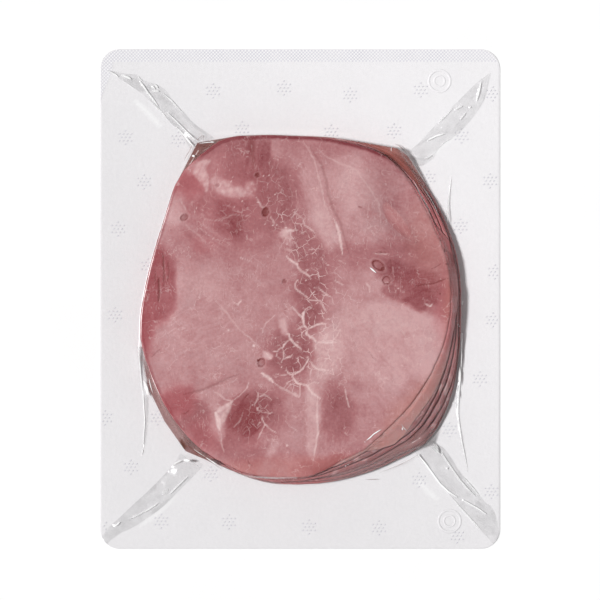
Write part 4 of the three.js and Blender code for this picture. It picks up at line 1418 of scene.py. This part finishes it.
def make_film(settings):
    """The clear film: one sheet from the middle of the stack to the pack's edge."""
    shoulder, fillet = 0.7, 0.35
    foot = FLAT_FILM_TOP
    bm = bmesh.new()
    disc(bm, 140)
    flat = places(bm.verts)
    turn = np.mod(np.arctan2(flat[:, 1], flat[:, 0]) / (2 * np.pi), 1)
    radius = np.linalg.norm(flat[:, :2], axis=1)
    top = round_the_centre(turn, radius * (film_reach(STACK_TOP, turn) - shoulder))
    move(bm.verts, np.column_stack([top, np.full(len(top), PACK_TOP)]))
    edges = open_edges(bm)

    def side(height, extra=0.0):
        def reach(turn):
            pull = 0.12 * noise_round(turn, 60, 7) + 0.08 * noise_round(turn, 150, 8)
            level = math.sin(math.pi * min(1, max(0, (height - foot) / (STACK_TOP - foot))))
            return film_reach(height, turn) + extra + pull * level

        return reach

    for share in (0.2, 0.4, 0.6, 0.8, 1.0):
        angle = share * math.pi / 2
        drop = shoulder * (1 - math.cos(angle))
        edges = add_ring(bm, edges, side(STACK_TOP, -shoulder * (1 - math.sin(angle))), PACK_TOP - drop)
    start = PACK_TOP - shoulder
    for step in range(1, 25):
        height = start + (foot + fillet - start) * step / 24
        edges = add_ring(bm, edges, side(height), height)
    for share in (0.25, 0.5, 0.75, 1.0):
        angle = share * math.pi / 2
        reach = side(foot, fillet * (1 - math.cos(angle)))
        edges = add_ring(bm, edges, reach, foot + fillet * (1 - math.sin(angle)))
    for share in (0.03, 0.1, 0.25, 0.5, 0.8, 0.996, 1.0):
        edges = add_ring(
            bm,
            edges,
            lambda turn, s=share: (film_reach(foot, turn) + fillet) * (1 - s) + at_turn(PACK_REACH, turn) * s,
            foot,
        )
    made = places(bm.verts)
    move(bm.verts, settle(made))
    attributes = {"shine": np.zeros(len(made)), "shade": np.zeros(len(made))}
    film = new_piece(bm, "film", [film_material(settings)], ["clear_film"], attributes, upward=True)
    give_wall(film, settings.thickness)


# The folded webs of film, each from its root at the stack to its tip: the two edges as seen from above, its creases,
# which carry painted white highlights, and its darker, many-layered places, which also carry painted shade (half width,
# strength and points), how high its root climbs the stack, and over what length it falls to a lying fold.
EARS = {
    "ear_top_left": {
        "left": (
            (-44, 60), (-47.6, 66), (-52, 70.8), (-56, 75.2), (-60, 79), (-64, 82.6), (-68, 85.4), (-72, 88),
            (-74.8, 90), (-77.4, 91.2),
        ),
        "right": (
            (-34.4, 64.4), (-38, 67.2), (-42, 70), (-45.2, 73.2), (-48, 76), (-50.8, 79.2), (-52.8, 82.4),
            (-54.8, 84.4), (-58, 86), (-60.8, 86.8), (-63.6, 88), (-65.2, 89.6), (-68.8, 90), (-72, 90.5),
            (-75, 91.3), (-77.6, 91.8),
        ),
        "creases": (
            (0.3, 0.7, ((-42.8, 61), (-45.2, 64), (-47.6, 66.8), (-49.4, 68.6))),
            (0.22, 0.7, ((-42, 63.6), (-44.8, 66.4), (-47.2, 68.8), (-49.6, 71.2), (-52.8, 74.4))),
            (0.3, 0.8, ((-56.8, 77.2), (-59.2, 80.4), (-60.8, 82.4), (-62.4, 84.8), (-64, 87.2))),
            (0.26, 0.8, ((-44, 72.4), (-48, 76), (-51.2, 79.2), (-54.6, 82))),
            (0.26, 0.9, ((-59.2, 85.2), (-58, 84))),
            (0.26, 0.9, ((-58, 86), (-56.8, 84.4))),
            (0.26, 0.9, ((-58.8, 83.2), (-56.4, 83.1))),
            (0.38, 0.9, ((-71.2, 89.6), (-69.2, 88.8), (-67.6, 88))),
            (0.32, 0.9, ((-70.4, 86.9), (-67.2, 84.6), (-64.8, 82.6), (-62.8, 80.8))),
            (0.25, 0.5, ((-60, 79.2), (-56, 75.4), (-53, 71.8))),
            (0.3, 0.9, ((-77.2, 91.2), (-75.2, 90.4), (-72.8, 89))),
            (0.25, 0.7, ((-64.6, 89.2), (-63.2, 87.4))),
        ),
        "layers": (
            (0.9, 1.0, ((-52.4, 72.4), (-47.6, 66.4), (-44.8, 61.6))),
            (0.8, 0.9, ((-56, 75.4), (-60, 81))),
            (1.2, 1.0, ((-70, 87.6), (-66, 86.2), (-62.6, 83.4))),
            (1.3, 1.0, ((-61, 85), (-58, 82), (-54, 80.2), (-51.2, 77.6))),
            (0.45, 1.0, ((-48, 74.8), (-42, 69.2), (-36.8, 65.2))),
            (0.9, 0.6, ((-56, 79), (-50, 73), (-44, 66))),
        ),
        "rise": 3.2,
        "fall": 4.0,
    },
    "ear_top_right": {
        "left": (
            (42.8, 58.4), (48, 62.9), (52, 67.3), (56, 71.6), (60, 76), (64, 80), (68, 84), (72, 87.6), (76, 90.4),
        ),
        "right": (
            (43.6, 56.4), (46, 54.4), (48.4, 53.2), (51.2, 54.8), (53.6, 56.8), (55.2, 59.6), (57.6, 62.4),
            (60.4, 64), (63.2, 66), (66, 68.8), (68.4, 71.6), (71.6, 76), (74, 80.4), (75.2, 85.2), (76, 88.4),
            (76.3, 90),
        ),
        "creases": (
            (0.3, 1.0, ((51, 63.4), (54.4, 65.2), (57.6, 66))),
            (0.35, 0.7, ((67.8, 76.8), (68.2, 76.6))),
            (0.22, 0.6, ((64.8, 77.2), (62, 75.6))),
            (0.26, 0.7, ((72.4, 87), (71.6, 82.8), (70.6, 79.2))),
            (0.22, 0.5, ((55.4, 70.4), (60.8, 76))),
            (0.24, 0.6, ((66.2, 74.4), (64.2, 71.8))),
            (0.3, 0.7, ((55.6, 59.8), (57.8, 62.4), (60.6, 64))),
            (0.24, 0.5, ((50, 55.8), (53, 57.6))),
        ),
        "layers": (
            (0.28, 1.0, ((45.2, 60.4), (50, 63.4), (55, 66.2), (56.6, 67.6))),
            (0.35, 1.0, ((56.2, 68.6), (56.8, 66.8), (59, 66.6))),
            (0.24, 1.0, ((61.2, 67.6), (64.4, 71.6), (67.6, 75.6))),
            (1.2, 0.6, ((71.4, 86), (68, 81.6), (64, 79))),
            (0.5, 1.0, ((74.8, 83.6), (73.6, 78.8), (71.4, 75.6))),
            (0.4, 1.0, ((43.6, 57.2), (45.6, 56), (50, 55.6), (52, 56.4))),
            (0.9, 0.9, ((44.8, 55.6), (47.2, 54), (49.6, 53.8))),
            (0.9, 0.5, ((62, 67), (66, 70.6), (69, 74))),
        ),
        "rise": 7.5,
        "fall": 4.0,
    },
    "ear_bottom_left": {
        "left": (
            (-39.6, -67.4), (-43.2, -71.4), (-47.2, -75.4), (-52, -80.4), (-56, -84), (-60, -86.9), (-64, -89.6),
            (-68, -91.9), (-72, -93.8), (-76, -96.8), (-77.6, -98.4),
        ),
        "right": (
            (-48, -61.6), (-49.4, -64.4), (-52, -67.6), (-56, -72), (-60, -76), (-64, -79.7), (-68, -83.5),
            (-72, -87.2), (-76, -90.9), (-79.6, -95.6),
        ),
        "creases": (
            (0.3, 0.45, ((-51.6, -67.2), (-49.8, -65.6), (-47.6, -64.6))),
            (0.4, 1.0, ((-46.4, -64.4), (-44.2, -64.6))),
            (0.8, 0.2, ((-55, -78), (-53, -76.2))),
            (0.22, 0.7, ((-52, -78), (-48, -74), (-45.2, -71.2))),
            (0.22, 0.6, ((-62, -85.2), (-58.4, -82.8), (-56.8, -81.6))),
            (0.3, 0.9, ((-74.8, -90), (-73.6, -90.5), (-72, -89.2))),
            (0.3, 0.6, ((-45, -62.8), (-42.6, -64.6), (-40.6, -66.6))),
            (0.24, 0.4, ((-68, -88), (-64, -86), (-60, -83.6))),
        ),
        "layers": (
            (0.9, 0.8, ((-53, -69.2), (-60, -76.4), (-66, -82), (-72, -87.8))),
            (0.7, 1.0, ((-51.2, -79.4), (-56, -83.4), (-60, -86.2))),
            (0.24, 1.0, ((-49.6, -76), (-45.6, -72), (-44.4, -70.4))),
            (3.0, 0.6, ((-67.2, -86.4), (-76, -94))),
            (1.6, 0.5, ((-60, -80), (-68, -86))),
        ),
        "rise": 5.0,
        "fall": 4.0,
    },
    "ear_bottom_right": {
        "left": (
            (52, -56), (55.2, -58), (57.6, -59.8), (60, -62.8), (62.4, -66.8), (65.2, -70.8), (68.8, -74.8),
            (72, -78.8), (74.4, -81.6), (76.8, -83.4), (78.4, -87.2), (79.2, -91.6), (79.8, -94.4),
        ),
        "right": (
            (45.6, -60.8), (48.8, -64.8), (52, -69), (54.8, -73), (58, -76.4), (60.8, -79.6), (64, -83.6), (68, -88),
            (72, -92.4), (75.2, -95.6), (77.4, -98.2),
        ),
        "creases": (
            (0.36, 1.0, ((47.2, -62.2), (50, -65.8), (53.2, -70.2), (56, -74), (59.2, -77), (62.8, -79.2))),
            (0.32, 1.0, ((53.2, -57.6), (54.4, -59.2), (55.4, -60.8))),
            (0.38, 1.0, ((52.8, -59.2), (55.6, -61.6))),
            (0.24, 0.7, ((56.4, -61.2), (58.8, -64.8), (61.2, -68.4), (64, -72.4), (66.8, -75.6), (70, -78.8))),
            (0.26, 0.9, ((64.8, -70), (67.2, -73), (69.8, -76), (72.2, -78.8))),
            (0.22, 0.9, ((65.2, -80.4), (68, -82), (71.6, -84), (74.4, -86))),
            (0.36, 0.9, ((58.6, -67.6), (59, -67.8))),
            (0.22, 0.6, ((62.8, -82.4), (66.4, -86), (70, -90))),
            (0.24, 0.5, ((60.6, -79.4), (64, -83.4), (68, -87.6), (72, -92))),
        ),
        "layers": (
            (0.9, 1.0, ((56, -58.8), (60, -64), (64, -70.4), (68, -75.4), (72, -79.8))),
            (0.8, 0.9, ((56, -73), (60, -76.2), (62.4, -77.8))),
            (0.6, 1.0, ((70, -80.4), (72, -82.4), (74, -84.2))),
            (0.7, 1.0, ((76.6, -84.6), (78, -89.2))),
            (1.4, 0.9, ((47.6, -60), (51.2, -58), (54, -57.6))),
            (3.0, 0.4, ((70, -84), (76, -93))),
        ),
        "rise": 6.5,
        "fall": 4.5,
    },
    "tuck_left": {
        "left": ((-62.2, -19), (-61, -30), (-60.4, -38), (-60.8, -48.4), (-61.6, -56.4), (-63.2, -62.8)),
        "right": ((-65.2, -19), (-64, -30.4), (-62.9, -40), (-62.4, -49.6), (-62.9, -59.2), (-63.6, -63.2)),
        "creases": (
            (0.26, 0.9, ((-61.6, -35), (-61.2, -38.4))),
            (0.22, 0.7, ((-64.8, -19), (-63.8, -30.4), (-62.7, -40), (-62.2, -49.6), (-62.7, -58))),
            (0.4, 0.8, ((-63, -60.4), (-63.2, -62))),
        ),
        "layers": ((0.5, 0.8, ((-62.4, -24), (-61.2, -36), (-61.2, -48), (-62.2, -58))),),
        "rise": 4.0,
        "fall": 9.0,
    },
    "tuck_right": {
        "left": ((65.4, -12.4), (65.2, -26.4), (64.4, -38.4), (63.9, -46.4), (65.4, -56.4), (67.3, -69.2)),
        "right": ((62.6, -14.4), (62.8, -27.6), (62.2, -38.4), (62.4, -45.2), (63.9, -56.4), (66.7, -69.2)),
        "creases": (
            (0.24, 0.8, ((64.8, -14), (64.4, -28), (63.4, -40), (63.2, -46))),
            (0.2, 0.5, ((63.2, -46), (64.6, -56.4), (67, -68))),
        ),
        "layers": ((0.5, 0.9, ((63.4, -22), (63, -38), (63.6, -52))),),
        "rise": 4.0,
        "fall": 9.0,
    },
    "tuck_top_right": {
        "left": ((58.2, 31), (59, 41.6), (60.5, 49.2)),
        "right": ((59.8, 30), (60.2, 39.6), (60.8, 49.2)),
        "creases": ((0.2, 0.4, ((58.8, 31), (59.6, 41), (60.6, 49))),),
        "layers": ((0.3, 0.7, ((59.4, 32), (60, 42))),),
        "rise": 2.5,
        "fall": 6.0,
    },
}


def make_ear(settings, name, shape):
    """One web of film, folded over itself and lying on the flat film."""
    along_steps, across_steps = (210, 46) if name.startswith("ear") else (150, 14)
    lying = 0.75
    bm = bmesh.new()
    bmesh.ops.create_grid(bm, x_segments=along_steps, y_segments=across_steps, size=1)
    share = (places(bm.verts)[:, :2] + 1) / 2
    row, v = np.rint(share[:, 0] * along_steps).astype(int), share[:, 1]
    left, right = (even_points(shape[key], along_steps + 1) for key in ("left", "right"))
    points = left[row] * (1 - v[:, None]) + right[row] * v[:, None]
    middle = (left + right) / 2
    run = np.concatenate([[0], np.cumsum(np.linalg.norm(np.diff(middle, axis=0), axis=1))])[row]
    widths = np.linalg.norm(left - right, axis=1)
    size = min(1.0, float(widths.max()) / 8)
    arch = np.sin(np.pi * v) ** 0.85
    body = 0.6 + 0.2 * noise_at(points, 6, 5) + 0.1 * noise_at(points, 2.2, 6)
    thin = smooth(0, 1, widths[row])
    lift = (lying * size * body + shape["rise"] * np.exp(-((run / shape["fall"]) ** 1.5))) * arch * thin
    # Painted highlights along the creases, and painted shade with the many-layered places.
    crease_highlight = line_strength(points, shape["creases"])
    ridge = line_strength(points, shape["creases"], widen=1.6)
    layers = line_strength(points, shape["layers"], widen=1.3)
    lift += size * (0.16 * ridge - 0.1 * layers * smooth(0, 0.3, arch))
    shade = 0.42 + 0.36 * layers + 0.25 * noise_at(points, 3, 9, 3)
    points = keep_on_pack(points, 0.1)
    floor = FLAT_FILM_TOP + settings.thickness / MM + 0.02
    made = np.column_stack([points, floor + np.maximum(lift, 0)])
    move(bm.verts, made)
    attributes = {"shine": np.clip(crease_highlight, 0, 1), "shade": np.clip(shade, 0, 1.3) * thin}
    ear = new_piece(bm, name, [film_material(settings)], ["clear_film"], attributes, upward=True)
    give_wall(ear, settings.thickness)


# Rings pressed into the sheets: centre, and the radius and width of each ring.
RING_PAIRS = (
    ((55.8, 87.2), ((4.3, 1.0), (2.1, 0.8))),
    ((59.8, -88.8), ((4.4, 1.0), (2.2, 0.8))),
)


def make_rings(settings):
    """The rings pressed into the seal, as low rounded ridges."""
    height = 0.2
    bm = bmesh.new()
    for (x, y), rings in RING_PAIRS:
        for radius, width in rings:
            section = bmesh.ops.create_circle(bm, segments=12, radius=1)["verts"]
            for vert in section:
                vert.co = (x + radius + vert.co.x * width / 2, y, BACKING_TOP + max(vert.co.y, -0.2) * height)
            edges = list({edge for vert in section for edge in vert.link_edges})
            bmesh.ops.spin(
                bm, geom=section + edges, cent=(x, y, 0), axis=(0, 0, 1), angle=2 * math.pi, steps=64, use_merge=True
            )
    bmesh.ops.remove_doubles(bm, verts=bm.verts, dist=1e-4)
    nothing = np.zeros(len(bm.verts))
    attributes = {"dot": nothing, "glow": nothing}
    new_piece(bm, "pressed_rings", [backing_material(settings)], attributes=attributes)


def make_knurl(settings):
    """The sealed band along the top edge and at the left corner, pressed into a lattice of small knobs, with painted
    light on the knobs and painted shade in the hollows between them.
    """
    pitch, depth, height, step = 1.36, 5.1, 0.1, 0.17
    low = 77.0
    bm = bmesh.new()
    half = np.array(PACK_HALF)
    size = np.array([2 * half[0], half[1] - low])
    counts = (size / step).astype(int)
    bmesh.ops.create_grid(bm, x_segments=int(counts[0]), y_segments=int(counts[1]), size=1)
    flat = (places(bm.verts)[:, :2] + 1) / 2 * size + np.array([-half[0], low])
    wide = depth * smooth(low, low + 17, flat[:, 1])
    inside = np.maximum(flat[:, 1] - (half[1] - depth), wide - (flat[:, 0] + half[0]))
    off = np.linalg.norm(keep_on_pack(flat, 0.3) - flat, axis=1) > 1e-6
    bmesh.ops.delete(bm, geom=[v for v, drop in zip(list(bm.verts), off | (inside < -0.4)) if drop], context="VERTS")
    made = places(bm.verts)
    flat = (made[:, :2] + 1) / 2 * size + np.array([-half[0], low])
    x, y = flat[:, 0], flat[:, 1]
    lattice = 0.5 + 0.5 * np.cos(2 * np.pi * x / pitch) * np.cos(2 * np.pi * y / pitch)
    wide = depth * smooth(low, low + 17, y)
    inside = np.maximum(y - (half[1] - depth), wide - (x + half[0]))
    fade = smooth(-0.3, 0.3, inside) * (0.8 + 0.3 * noise_at(flat, 9, 12))
    move(bm.verts, np.column_stack([flat, BACKING_TOP + 0.012 + height * fade * lattice]))
    # Painted shade in the hollows between the knobs, and painted light on their tops.
    dots = fade * smooth(0.6, 0.3, lattice)
    attributes = {"dot": np.clip(dots, 0, 1), "glow": np.clip(fade * smooth(0.55, 0.8, lattice), 0, 1)}
    new_piece(bm, "seal_knurl", [backing_material(settings)], attributes=attributes, upward=True)


# The clusters of dots pressed into the backing, as centres.
DOT_CLUSTERS = (
    (-69.8, 64.6), (-48.8, 63.8), (-34.8, 83.2), (-6.4, 84.4), (20, 81.6), (48.3, 83.6), (77.2, 82), (-23.2, 68),
    (12.5, 66.8), (37.6, 67.2), (64.6, 65.2), (51.4, 48.4), (76, 47.2), (-62.4, 46.8), (-72.8, 28), (64.2, 29.1),
    (78, 10.8), (-60.9, 13.2), (-74, -6.4), (77.2, -8.4), (71.9, -32), (-78, -47.6), (-57, -47.6), (59.8, -52.3),
    (-67.7, -67.3), (-35.8, -70), (47.6, -72.4), (76.5, -77.1), (-80, -90.8), (-55.5, -88.9), (-28.4, -89.2),
    (3.6, -91.2), (31.6, -91.6), (62.8, -94.8),
)

# Where light gathers on the backing beside the folds: half width, strength and points.
BACKING_GLOWS = (
    (0.9, 0.6, ((-62, 79.4), (-56, 73.6), (-51.4, 68.6))),
    (0.8, 0.5, ((51, -72.4), (55, -76.8), (59, -80.4))),
    (0.8, 0.5, ((70, -72), (73, -76), (76, -79))),
    (1.4, 0.35, ((-30, 66.2), (-10, 66.6), (10, 66.4), (24, 65.4))),
    (0.9, 0.4, ((56, 56.6), (60, 60.4), (66, 65))),
    (1.0, 0.35, ((-46, -79), (-52, -85), (-60, -91))),
)


def make_backing(settings):
    """The white sheet with its clusters of pressed dots."""
    pitch, row_pitch, dot_height, reach = 1.6, 1.36, 0.05, 3.0
    radius = settings.dot_width / MM / 2
    bm = bmesh.new()
    bmesh.ops.create_grid(bm, x_segments=160, y_segments=200, size=1)
    flat = places(bm.verts)[:, :2] * np.array(PACK_HALF)
    inset = keep_on_pack(flat, 0.12)
    move(bm.verts, np.column_stack([inset, np.full(len(flat), BACKING_TOP)]))
    bmesh.ops.remove_doubles(bm, verts=bm.verts, dist=1e-4)
    # Painted light on the backing beside the folds.
    glow = line_strength(places(bm.verts)[:, :2], BACKING_GLOWS)
    edges = open_edges(bm)
    for out, height in ((0.12, BACKING_TOP - 0.06), (0.12, 0.0)):
        made = bmesh.ops.extrude_edge_only(bm, edges=edges)["geom"]
        verts = [part for part in made if isinstance(part, bmesh.types.BMVert)]
        edges = [part for part in made if isinstance(part, bmesh.types.BMEdge) and part.is_boundary]
        rim = places(verts)[:, :2]
        if height:
            half = np.array(PACK_HALF) - CORNER_RADIUS
            away = rim - np.clip(rim, -half, half)
            rim = rim + out * away / np.maximum(np.linalg.norm(away, axis=1, keepdims=True), 1e-9)
        move(verts, np.column_stack([rim, np.full(len(rim), height)]))
    bmesh.ops.edgeloop_fill(bm, edges=edges)
    sheet_verts = len(bm.verts)
    for x, y in DOT_CLUSTERS:
        for row in range(-2, 3):
            for column in range(-2, 3):
                spot = np.array([(column + 0.5 * (row % 2)) * pitch, row * row_pitch])
                centre = spot + (x, y)
                if np.linalg.norm(spot) > reach or np.linalg.norm(keep_on_pack(centre[None], 1.0)[0] - centre) > 1e-6:
                    continue
                verts = bmesh.ops.create_cone(
                    bm, cap_ends=True, segments=8, radius1=radius, radius2=radius * 0.5, depth=dot_height
                )["verts"]
                bmesh.ops.scale(bm, vec=(1.15, 0.6, 1), verts=verts)
                tilt = math.radians(28) + 0.5 * noise.noise(Vector((*centre, 3)))
                bmesh.ops.rotate(bm, verts=verts, cent=(0, 0, 0), matrix=Matrix.Rotation(tilt, 3, "Z"))
                bmesh.ops.translate(bm, verts=verts, vec=(*centre, BACKING_TOP + dot_height / 2 - 0.01))
    # Painted shade on the pressed dots.
    dots = np.zeros(len(bm.verts))
    dots[sheet_verts:] = 0.75
    glow = np.concatenate([glow, np.zeros(len(bm.verts) - len(glow))])
    new_piece(bm, "backing", [backing_material(settings)], ["backing_sheet"], {"dot": dots, "glow": glow})


# ---------------------------------------------------------------- stage


def make_stage(settings):
    """A plain pale floor, a lamp on the left with even light all round, and the camera straight above."""
    photo_width, photo_middle = 240.0, (0.0, -0.4)
    bm = bmesh.new()
    bmesh.ops.create_grid(bm, x_segments=1, y_segments=1, size=1.5)
    mesh = bpy.data.meshes.new("floor")
    bm.to_mesh(mesh)
    bm.free()
    n = Nodes("floor_white")
    cloud = n.mix(n.band(n.noise(60, 2), 0.3, 0.7), srgb(250, 250, 250), srgb(252, 252, 252))
    mesh.materials.append(n.finish(n.add("ShaderNodeBsdfDiffuse", Color=cloud).outputs[0]))
    floor = bpy.data.objects.new("floor", mesh)
    bpy.context.scene.collection.objects.link(floor)

    lamp = bpy.data.lights.new("key", "SUN")
    lamp.energy = settings.key
    lamp.angle = math.radians(6)
    lamp_object = bpy.data.objects.new("key", lamp)
    lamp_object.rotation_euler = (0, -(math.pi / 2 - settings.key_height), math.radians(-4))
    bpy.context.scene.collection.objects.link(lamp_object)

    world = bpy.data.worlds.new("studio")
    world.use_nodes = True
    world.node_tree.nodes["Background"].inputs[0].default_value = (1, 1, 1, 1)
    world.node_tree.nodes["Background"].inputs[1].default_value = settings.fill
    bpy.context.scene.world = world
    bpy.context.scene.view_settings.view_transform = "Standard"
    bpy.context.scene.cycles.transparent_max_bounces = 24  # enough for light to pass through all the folded film

    camera = bpy.data.cameras.new("camera")
    camera.sensor_width = 36
    camera.lens = camera.sensor_width * settings.camera_distance / (photo_width * MM)
    camera_object = bpy.data.objects.new("camera", camera)
    camera_object.location = (photo_middle[0] * MM, photo_middle[1] * MM, settings.camera_distance)
    bpy.context.scene.collection.objects.link(camera_object)
    bpy.context.scene.camera = camera_object


# ---------------------------------------------------------------- add-on


class HAM_OT_backing(bpy.types.Operator):
    """Makes the white backing sheet with its pressed dots"""

    bl_idname = "ham.backing"
    bl_label = "Backing"

    def execute(self, context):
        settings = context.scene.ham_pack.backing
        make_backing(settings)
        make_rings(settings)
        make_knurl(settings)
        return {"FINISHED"}


class HAM_OT_top_slice(bpy.types.Operator):
    """Makes the top slice with its marbled face"""

    bl_idname = "ham.top_slice"
    bl_label = "Top Slice"

    def execute(self, context):
        make_top_slice(context.scene.ham_pack.ham)
        return {"FINISHED"}


class HAM_OT_lower_slices(bpy.types.Operator):
    """Makes the slices below the top one"""

    bl_idname = "ham.lower_slices"
    bl_label = "Lower Slices"

    def execute(self, context):
        for index in range(1, len(SLICES)):
            make_lower_slice(context.scene.ham_pack.ham, index)
        return {"FINISHED"}


class HAM_OT_film(bpy.types.Operator):
    """Makes the clear film, the juices under it, its painted highlights and its lines of juices and painted shade"""

    bl_idname = "ham.film"
    bl_label = "Film"

    def execute(self, context):
        settings = context.scene.ham_pack.film
        for corner in range(len(FILM_CORNERS)):
            make_brine(settings, corner)
        make_film(settings)
        make_strips(
            "film_glints", film_material(settings), GLINTS, 0.12,
            lambda strength: {"shine": np.clip(1.6 * strength, 0, 1), "shade": 0 * strength},
        )
        make_strips(
            "juice_lines", brine_material(settings), JUICE_AND_SHADE_LINES, 0.05,
            lambda strength: {"red": 0 * strength, "pale": 0 * strength, "dark": 0 * strength + 0.35, "body": strength},
        )
        return {"FINISHED"}


class HAM_OT_ears(bpy.types.Operator):
    """Makes the folded webs of film"""

    bl_idname = "ham.ears"
    bl_label = "Film Folds"

    def execute(self, context):
        for name, shape in EARS.items():
            make_ear(context.scene.ham_pack.film, name, shape)
        return {"FINISHED"}


class HAM_OT_stage(bpy.types.Operator):
    """Makes the floor, the light and the camera"""

    bl_idname = "ham.stage"
    bl_label = "Stage"

    def execute(self, context):
        make_stage(context.scene.ham_pack.stage)
        return {"FINISHED"}


class HAM_PT_panel(bpy.types.Panel):
    """Lists the pack's pieces and settings"""

    bl_idname = "HAM_PT_panel"
    bl_label = "Ham Pack"
    bl_space_type = "VIEW_3D"
    bl_region_type = "UI"
    bl_category = "Ham Pack"

    def draw(self, context):
        for operator in OPERATORS:
            self.layout.operator(operator.bl_idname)
        for group in ("ham", "film", "backing", "stage"):
            settings = getattr(context.scene.ham_pack, group)
            box = self.layout.box()
            for key in settings.__annotations__:
                box.prop(settings, key)


SETTINGS = (HamSettings, FilmSettings, BackingSettings, StageSettings, HamPackSettings)
OPERATORS = (HAM_OT_backing, HAM_OT_top_slice, HAM_OT_lower_slices, HAM_OT_film, HAM_OT_ears, HAM_OT_stage)


def register():
    for cls in (*SETTINGS, *OPERATORS, HAM_PT_panel):
        bpy.utils.register_class(cls)
    bpy.types.Scene.ham_pack = PointerProperty(type=HamPackSettings)


def unregister():
    del bpy.types.Scene.ham_pack
    for cls in reversed((*SETTINGS, *OPERATORS, HAM_PT_panel)):
        bpy.utils.unregister_class(cls)


def main():
    register()
    bpy.ops.ham.stage()
    bpy.ops.ham.backing()
    bpy.ops.ham.lower_slices()
    bpy.ops.ham.top_slice()
    bpy.ops.ham.film()
    bpy.ops.ham.ears()


if __name__ == "__main__":
    main()
